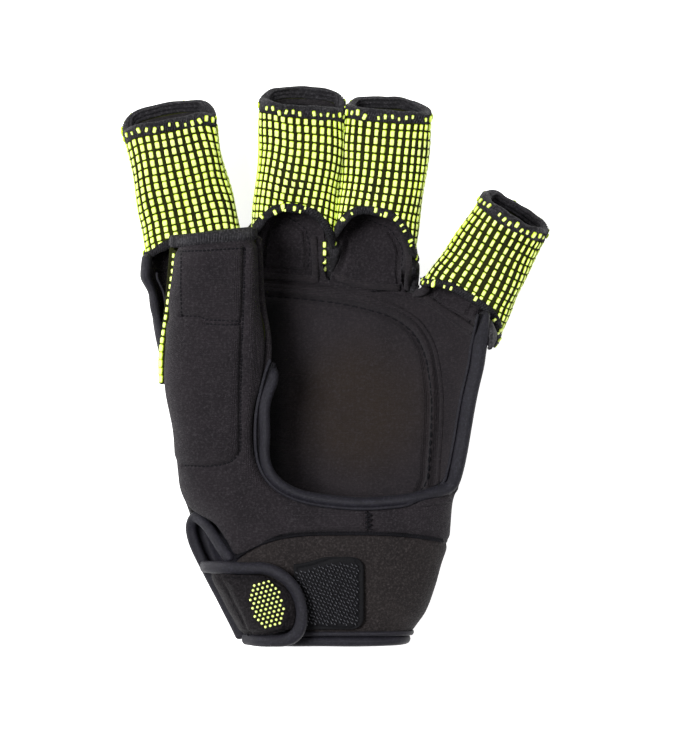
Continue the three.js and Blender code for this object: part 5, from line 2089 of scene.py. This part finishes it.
@dataclass
class ThumbMesh:
    """The grip mesh on the thumb's other face, and the strip of it that folds up along the front panel."""

    finishes: Finishes
    columns: int = 17
    rows: int = 14

    def build(self) -> None:
        """The knit, its blocks, and the edge strip with one column of blocks."""
        shares = even_shares(thumb_back_point, 0.4, 5 * self.columns + 1)

        def bars(points: Array, u: Array, v: Array) -> Array:
            """Cords of knit between the columns."""
            return cords(np.broadcast_to(np.arange(len(shares)) / 5.0, u.shape))

        vs = np.linspace(0, 1, 60)
        form, _, _ = wall(thumb_back_point, KNIT, 1, shares, vs, outer=bars)
        make_piece("thumb_knit", form, self.finishes.knit, ["thumb_back"])
        at = np.arange(self.columns) * 5
        low, high = shares[at], shares[at + 5]
        column, row = np.meshgrid(np.arange(self.columns), np.arange(self.rows), indexing="ij")
        column, row = column.ravel(), row.ravel()
        middles = np.column_stack([(low + high)[column] / 2, (row + 0.5) / self.rows * 0.96 + 0.02])
        halves = np.column_stack([(high - low)[column] / 2 * 0.64, np.full(len(row), 0.38 / self.rows)])
        keep = (middles[:, 0] > 0.07) & (middles[:, 0] < 0.82)
        blocks = [blocks_on(thumb_back_point, 1, middles[keep], halves[keep], False)]

        edging = smooth_line(np.array([
            [-54.0, 48.2, 38.0], [-54.4, 42.0, 38.0], [-55.5, 34.0, 37.8], [-56.9, 25.0, 37.4],
            [-58.2, 16.0, 36.7], [-58.7, 9.0, 36.0], [-58.5, 2.6, 35.2],
        ]), 120)
        ups = np.tile(unit(np.array([-0.55, 0.0, 0.84])), (120, 1))
        form = roll(edging, ups, np.interp(edging[:, 1], [14.0, 18.0], [2.9, 2.2]), 1.6, 10)
        make_piece("thumb_edge_strip", form, self.finishes.knit)
        edge = front_point(np.ones(80), np.linspace(0.0, 0.27, 80)) + [0.2, 0.0, -2.2]
        form = roll(edge, np.tile(UP, (80, 1)), 3.4, 3.8, 14)
        make_piece("thumb_inner_edge", form, self.finishes.neoprene)
        both = resample(edging, step=2.75)
        middle, along = (both[1:] + both[:-1]) / 2, unit(np.diff(both, axis=0))
        up = ups[: len(middle)]
        draw = np.random.default_rng(SEED + 30)
        size = np.interp(middle[:, 1], [2.0, 14.0, 18.0, 48.0], [1.3, 1.3, 0.95, 0.72])
        size = size * draw.uniform(0.93, 1.05, len(middle))
        blocks.append(stamp(block_stamp(1.4, 2.2, BLOCK_HEIGHT), middle + up * 0.7, along, up, size))
        make_piece("thumb_grip_blocks", join(blocks), self.finishes.neon)


# ---------------- palm edge and wrist


@dataclass
class PalmEdge:
    """The rolled binding round the open palm, the fold of tape sewn beside it and the heel's gusset."""

    finishes: Finishes

    def line(
        self, beyond: float, drop: float, lining: tuple[float, float], first: float,
        swells: Sequence[Sequence[float]],
    ) -> Array:
        """A line that follows the palm's edge from the thumb round the heel to the little finger.

        On the panels it lies level with the palm's plane, off the edge by beyond and down by drop. At its
        swells it bows on towards the opening, each by a height times the bell of the distance from a y.

        Args:
            beyond: how far off the panels' edges, towards the opening.
            drop: how far under them.
            lining: how far inside the back's outer face, and over its edge, round its rim.
            first: the share of the front panel's edge at which it starts.
            swells: the height, y and reach of each bow.

        Returns:
            The line's points.
        """
        front = front_point(np.ones(190), np.linspace(first, 1, 190))
        side = side_point(np.linspace(0.1, 0.6, 30), np.zeros(30))
        edge = soften(resample(np.vstack([front[::6], side[::6]]), count=240), 30)
        level = unit(np.cross(UP, np.gradient(edge, axis=0) * [1, 1, 0]))
        bow = sum(h * np.exp(-(((edge[:, 1] - y) / reach) ** 2)) for h, y, reach in swells)
        bow = bow * (edge[:, 0] < -15)
        edge = edge + level * (beyond + bow)[:, None] - UP * drop
        rim, _ = edge_line(
            back_point, np.ones(90), np.linspace(0.74, 0.015, 90), 1, lining[1], lining[0], (-0.02, 0),
        )
        rim = np.vstack([rim[::6], rim[-1:] + unit(rim[-1] - rim[-7]) * 3.6])
        rim[:, 0] += np.interp(rim[:, 1], [8.0, 14.0, 20.0, 25.0, 28.0], [0.0, -0.8, 0.5, 1.6, 2.0])
        return soften(resample(np.vstack([edge[::6], rim]), count=420), 60)

    def gusset(self, route: Array) -> None:
        """The corner of neoprene that closes the heel under the roll, beside the little finger.

        It is drawn straight from the roll's line down to the side panel's end and the back's rim, and a seam
        allowance runs on behind the gap between these two, as wide as the gap and 1.6 mm more.

        Args:
            route: the roll's points.
        """
        top = route[(route[:, 0] > 32.0) & (route[:, 1] < -30.5)] - UP * 0.4
        panel = side_point(np.linspace(0, 1, 120), np.zeros(120))
        whole = back_point(np.ones(200), np.linspace(1, 0.5, 200))
        rim = whole[(whole[:, 1] > -37.5) & (whole[:, 1] < -31.5)]
        low = np.vstack([panel[panel[:, 0] > 31.0], rim])
        surface = between(*(resample(soften(line, 3), count=60) for line in (top, low)))
        form, _, _ = wall(
            surface, 1.5, 1, np.linspace(0, 1, 16), np.linspace(0, 1, 50),
            outer=lambda p, u, v: ripple(p, 8, 0.2, SEED + 7), bulge=0.9,
        )
        end = side_point(np.ones(60), np.linspace(0, 1, 60))
        near = read_off(end[:, 1], whole[:, 1], whole)
        high = np.linalg.norm(end - near, axis=1) + 1.6
        seam = roll((end + near) / 2 - [NEOPRENE / 2, 0, 0], np.tile(UP, (60, 1)), 1.8, high, 12)
        make_piece("heel_gusset", join([form, seam]), self.finishes.neoprene)

    def build(self) -> None:
        """The roll, the gusset, the thin fold of tape, and beside it a black strip of painted furrow shade
        with its stitches.
        """
        route = self.line(2.0, 0.75, (NEOPRENE / 2 + 0.3, 1.4), 0.255, ((1.8, -15.5, 9.0), (1.7, 5.6, 4.5)))
        ups = np.tile(UP, (len(route), 1))
        start = ease(np.arange(len(route)) / len(route), 0.0, 0.02)
        route = route - ups * (2.2 * (1 - start))[:, None]
        wide = np.interp(np.arange(len(route)), [0, 14, 230, 300, 396, 420], [0.7, 1.0, 1.0, 1.22, 1.3, 0.6])
        swell = (1.0 + 0.06 * ripple(route, 22, 1.0, SEED + 5)) * (0.5 + 0.5 * start)
        form = roll(route, ups, ROLL * 1.02 * swell * wide, ROLL * 0.95 * swell, 20)
        make_piece("palm_binding", form, self.finishes.binding, ["palm_binding"])
        self.gusset(route)
        fold = self.line(-0.05, -0.35, (NEOPRENE + 1.9, 1.0), 0.245, ((0.4, -15.5, 9.0), (1.5, 10.6, 3.4)))
        form = roll(fold, ups, 1.15, 1.0, 12)
        make_piece("palm_tape_fold", form, self.finishes.binding)
        # Painted shade: a low strip of the black thread finish stands in for the shade in the furrow beside
        # the binding; the stitches on it are real black thread.
        furrow = self.line(0.8, 0.2, (NEOPRENE + 1.0, 0.3), 0.25, ((0.7, -15.5, 9.0), (1.6, 9.0, 4.0)))
        form = roll(furrow - ups * 0.5, ups, 2.8, 0.9, 10)
        stitches = stitch_row(furrow, ups, 2.3, (1.7, 0.7, 0.5))
        make_piece("palm_stitches", join([form, stitches]), self.finishes.thread)


@dataclass
class Wrist:
    """The cuff, its bindings and arched seam, the hook tape and the closing tab.

    Attributes:
        finishes: the glove's finishes.
        hook_pitch: millimetres between neighbouring hooks.
        tab_panel: the outline of the tab's puffed panel.
        dot_field: the x, y, half width, half height and lean in degrees of its oval of grip dots.
    """

    finishes: Finishes
    hook_pitch: float = 1.05
    tab_panel: Array = field(default_factory=lambda: np.array([
        [-36.8, -65.6], [-20.6, -65.6], [-14.4, -71.6], [-13.6, -79.0], [-16.2, -84.4], [-29.0, -84.6],
    ]))
    dot_field: tuple[float, ...] = (-21.8, -74.4, 6.0, 8.3, 15.0)

    def cuff(self) -> None:
        """The brushed cuff."""
        us = even_shares(cuff_point, 0.6, 240)
        form, _, _ = wall(
            cuff_point, NEOPRENE, -1, us, np.linspace(0, 1, 70),
            outer=lambda p, u, v: seam_fall(p, 0.7) + ripple(p, 22, 0.35, SEED + 6),
        )
        make_piece("wrist_cuff", form, self.finishes.loop, ["wrist_cuff"])

    def arched_seam(self) -> None:
        """The overlocked seam along the arch: a low ridge with fine ribs and crossing threads."""
        x = np.linspace(-32.6, 39.6, 420)
        y = arch_at(x) - 0.4
        line = resample(np.column_stack([x, y, cuff_height(x, y) + 0.05]), count=420)
        rib = 1 + 0.16 * np.sin(np.arange(420) * 2 * np.pi / 4)
        ups = np.tile(UP, (420, 1))
        form = roll(line, ups, 0.95 * rib, 0.7 * rib, 8)
        threads = stamp(
            bead(1.2, 0.4, 0.4), (line + [0, 0.5, 0.3])[::3], np.tile([0.25, 1.0, 0.0], (140, 1)), ups[::3],
        )
        make_piece("arched_seam", join([form, threads]), self.finishes.thread)

    def bindings(self) -> None:
        """The rolled bindings of the wrist, the slit and the tab."""
        us = even_shares(cuff_point, 1.0, 300)
        vs = np.ones_like(us)
        line, up = edge_line(cuff_point, us, vs, -1, THIN_ROLL / 2 + SEAM_GAP, 1.5, (0, -0.05))
        swell = 1.03 + 0.06 * ripple(line, 18, 1.0, SEED + 7)
        form = roll(line, up, THIN_ROLL * swell, THIN_ROLL * swell, 14)
        make_piece("wrist_binding", form, self.finishes.binding, ["wrist_binding"])
        line, up = edge_line(cuff_point, us, vs, -1, -0.7, -0.15, (0, -0.05))
        form = roll(line, up, 1.7, 1.1, 12)
        make_piece("wrist_tape_fold", form, self.finishes.binding)
        for name, places, wide in (("slit_binding", SLIT_ROUTE, 1.08), ("tab_binding", TAB_ROUTE, 1.2)):
            line = smooth_line(places, 160)
            ups = np.tile(UP, (160, 1))
            swell = 1.02 + 0.07 * ripple(line, 14, 1.0, SEED + 8)
            form = roll(line, ups, THIN_ROLL * wide * swell, THIN_ROLL * swell, 18, False, 2.3)
            make_piece(name, form, self.finishes.binding, [name])

    def slit_lining(self) -> None:
        """The cloth that closes the slit from below, from under its binding to under the front panel."""
        left = smooth_line(SLIT_ROUTE[3:], 60) + [0.6, 0.0, -0.6]
        right = smooth_line(np.array([
            [-34.0, -43.0, 30.0], [-31.0, -52.0, 29.0], [-28.0, -64.0, 28.0], [-26.0, -76.0, 28.0],
            [-25.0, -86.5, 28.0],
        ]), 60)
        flat = between(left, right)

        def surface(u: Array, v: Array) -> Array:
            """Straight across between the two lines, sagging with one soft upright fold."""
            sag = -4.0 * np.sin(np.pi * u) + 3.4 * np.exp(-(((u - 0.42) / 0.1) ** 2))
            return flat(u, v) + UP * sag[..., None]

        side = 1 if normal_at(surface, np.array(0.5), np.array(0.5), 1)[2] > 0 else -1
        form, _, _ = wall(surface, 1.6, side, np.linspace(0, 1, 50), np.linspace(0, 1, 70))
        make_piece("slit_lining", form, self.finishes.binding)

    def hook_tape(self) -> None:
        """The tape with its rounded corners, a field of small hooks in slanting rows, and its sewn border."""
        left, right, top, bottom = -12.4, 11.6, -58.2, -83.4
        corner, thick, slant = 4.0, 1.3, 2.6

        def surface(u: Array, v: Array) -> Array:
            """The tape's face: the cuff's height under it plus the gap and the thickness."""
            y = mix(top - slant * (1 - ease(u, 0, 0.6)), bottom, v)
            near = np.clip(corner - np.minimum(top - y, y - bottom), 0, None) / corner
            x = mix(left, right - corner * (1 - np.sqrt(np.maximum(1 - near**2, 0))), u)
            return np.stack([x, y, cuff_height(x, y) + SEAM_GAP + thick], -1)

        form, skin, _ = wall(
            surface, thick, -1, np.linspace(0, 1, 70), np.linspace(0, 1, 70),
            outer=lambda p, u, v: -0.35 * np.exp(-(((edge_depth(p) - 1.4) / 0.5) ** 2)),
        )
        make_piece("hook_tape", form, self.finishes.tape, ["hook_tape"])
        step, bare = self.hook_pitch, 1.9
        middle, half = -70.8, 12.6
        a, b = np.meshgrid(np.arange(-40, 40), np.arange(-40, 40))
        draw = np.random.default_rng(SEED + 9)
        x = (a * step * 1.15 + b * step * 0.45).ravel() - 2.4 + draw.normal(0, 0.07, a.size)
        y = (b * step * 1.05 - a * step * 0.42).ravel() + middle + draw.normal(0, 0.07, a.size)
        ceiling = top - bare - slant * (1 - ease((x - left) / (right - left), 0, 0.6))
        keep = (x > left + 0.6) & (x < right - bare) & (y < ceiling) & (y > bottom + bare)
        off = np.hypot(
            np.maximum(x - (right - corner), 0), np.maximum(np.abs(y - middle) - half + corner, 0),
        )
        keep &= off < corner - bare * 0.7
        points, normals = skin.drop(np.column_stack([x, y])[keep])
        turn = np.linspace(0, 1, 6)
        path = np.column_stack([
            0.42 * (1 - np.cos(turn * 3.4)) - 0.2, np.zeros(6), 0.95 * np.sin(np.minimum(turn * 2.1, 2.0)),
        ])
        one = roll(path, np.tile(np.array([0.0, 1.0, 0.0]), (6, 1)), 0.3, 0.42, 4)
        way = np.column_stack([
            np.ones(len(points)), draw.normal(-0.9, 0.35, len(points)), np.zeros(len(points)),
        ])
        form = stamp(one, points, way, normals, draw.uniform(0.9, 1.1, len(points)))
        make_piece("hooks", form, self.finishes.hook)

    def tab(self) -> None:
        """The closing tab with its inner panel and an oval field of grip dots."""
        seams = (
            np.array([[-39.0, -64.9], [-36.8, -68.4], [-33.6, -75.0], [-29.8, -82.6], [-28.4, -86.2]]),
            np.array([[-30.4, -84.9], [-22.0, -85.2], [-15.2, -83.6]]),
            np.array([[-36.6, -65.2], [-22.0, -65.0], [-16.6, -68.4]]),
        )

        def relief(points: Array, u: Array, v: Array) -> Array:
            """The tab's face: a puffed inner panel, furrows at its seams and soft creases."""
            xy = points[..., :2]
            height = plateau(xy, self.tab_panel, 0.8, 2.2) + seam_fall(points, 0.6)
            for seam in seams:
                height += groove(xy, seam, 0.7, 0.8)
            return height + ripple(points, 12, 0.3, SEED + 10)

        form, skin, _ = wall(
            tab_point, NEOPRENE, -1, even_shares(tab_point, 0.5, 110), np.linspace(0, 1, 90), outer=relief,
        )
        make_piece("closing_tab", form, self.finishes.tab, ["closing_tab"])
        form = join([sewn_line(skin, seam, 2.2, (1.6, 0.45, 0.45)) for seam in seams])
        make_piece("tab_stitches", form, self.finishes.thread)
        x0, y0, half_wide, half_high, lean = self.dot_field
        step = 1.72
        a, b = np.meshgrid(np.arange(-8, 9), np.arange(-8, 9))
        across, along = (a * step + (b % 2) * step / 2).ravel(), (b * step * 0.866).ravel()
        keep = (across / half_wide) ** 2 + (along / half_high) ** 2 <= 1.0
        across, along = across[keep], along[keep]
        turn = math.radians(lean)
        xy = np.column_stack([
            x0 + across * math.cos(turn) - along * math.sin(turn),
            y0 + across * math.sin(turn) + along * math.cos(turn),
        ])
        points, normals = skin.drop(xy)
        flat = np.tile(np.array([1.0, 0.0, 0.0]), (len(points), 1))
        form = stamp(dome(0.5, 0.5), points, flat, normals)
        make_piece("grip_dots", form, self.finishes.neon)

    def build(self) -> None:
        """Builds all of it."""
        self.cuff()
        self.arched_seam()
        self.bindings()
        self.slit_lining()
        self.hook_tape()
        self.tab()


# ---------------- studio


@dataclass
class Studio:
    """A pale floor, soft lights and the camera straight above; its sizes are in metres."""

    centre: tuple[float, float] = (0.0037, 0.00525)
    distance: float = 2.0
    view_height: float = 0.2625
    subject_height: float = 0.03

    def build(self) -> None:
        """Makes the floor, the lights, the world and the camera."""
        scene = bpy.context.scene
        scene.view_settings.view_transform = "Standard"
        scene.view_settings.look = "None"
        shader = Shader("studio floor")
        grain = shader.noise(30.0, 2.0)
        tone = shader.blend(grain, (0.93, 0.93, 0.93), (0.95, 0.95, 0.95))
        material = shader.finish(
            Base_Color=tone, Roughness=0.9, Emission_Color=(1.0, 1.0, 1.0, 1.0), Emission_Strength=0.85,
        )
        mesh = bpy.data.meshes.new("studio_floor")
        reach = 3.0
        corners = [(-reach, -reach, 0), (reach, -reach, 0), (reach, reach, 0), (-reach, reach, 0)]
        mesh.from_pydata(corners, [], [(0, 1, 2, 3)])
        mesh.materials.append(material)
        floor = bpy.data.objects.new("studio_floor", mesh)
        scene.collection.objects.link(floor)

        world = bpy.data.worlds.new("studio")
        world.use_nodes = True
        sky = world.node_tree.nodes["Background"].inputs
        sky["Color"].default_value = (1.0, 1.0, 1.0, 1.0)
        sky["Strength"].default_value = 0.24
        scene.world = world
        self.lamp("window_light", (-0.8, 0.2, 1.6), 0.6, 44.0)
        self.lamp("fill_light", (0.8, 0.7, 1.5), 1.2, 7.0)

        data = bpy.data.cameras.new("camera")
        data.sensor_width = 36.0
        data.lens = 36.0 * self.distance / self.view_height
        data.clip_end = 20.0
        camera = bpy.data.objects.new("camera", data)
        camera.location = (*self.centre, self.subject_height + self.distance)
        scene.collection.objects.link(camera)
        scene.camera = camera

    def lamp(self, name: str, place: tuple[float, float, float], size: float, power: float) -> None:
        """A square area light, aimed at the glove.

        Args:
            name: its name.
            place: where it hangs.
            size: its side.
            power: its power in watts.
        """
        data = bpy.data.lights.new(name, "AREA")
        data.shape = "SQUARE"
        data.size = size
        data.energy = power
        lamp = bpy.data.objects.new(name, data)
        lamp.location = place
        away = np.array(place) - UP * self.subject_height
        lamp.rotation_euler = (
            math.atan2(math.hypot(away[0], away[1]), away[2]), 0.0, math.atan2(away[0], -away[1]),
        )
        bpy.context.scene.collection.objects.link(lamp)


def main() -> None:
    """Builds the glove and its studio."""
    logging.basicConfig(level=logging.INFO, format="%(message)s")
    Studio().build()
    finishes = Finishes()
    BackOfHand(finishes).build()
    ThumbAndHeel(finishes).build()
    fingers = [Finger(finishes, **numbers) for numbers in FINGERS]
    for finger in fingers:
        finger.build()
    FingerWebs(finishes, fingers).build()
    ThumbMesh(finishes).build()
    PalmEdge(finishes).build()
    Wrist(finishes).build()


if __name__ == "__main__":
    main()
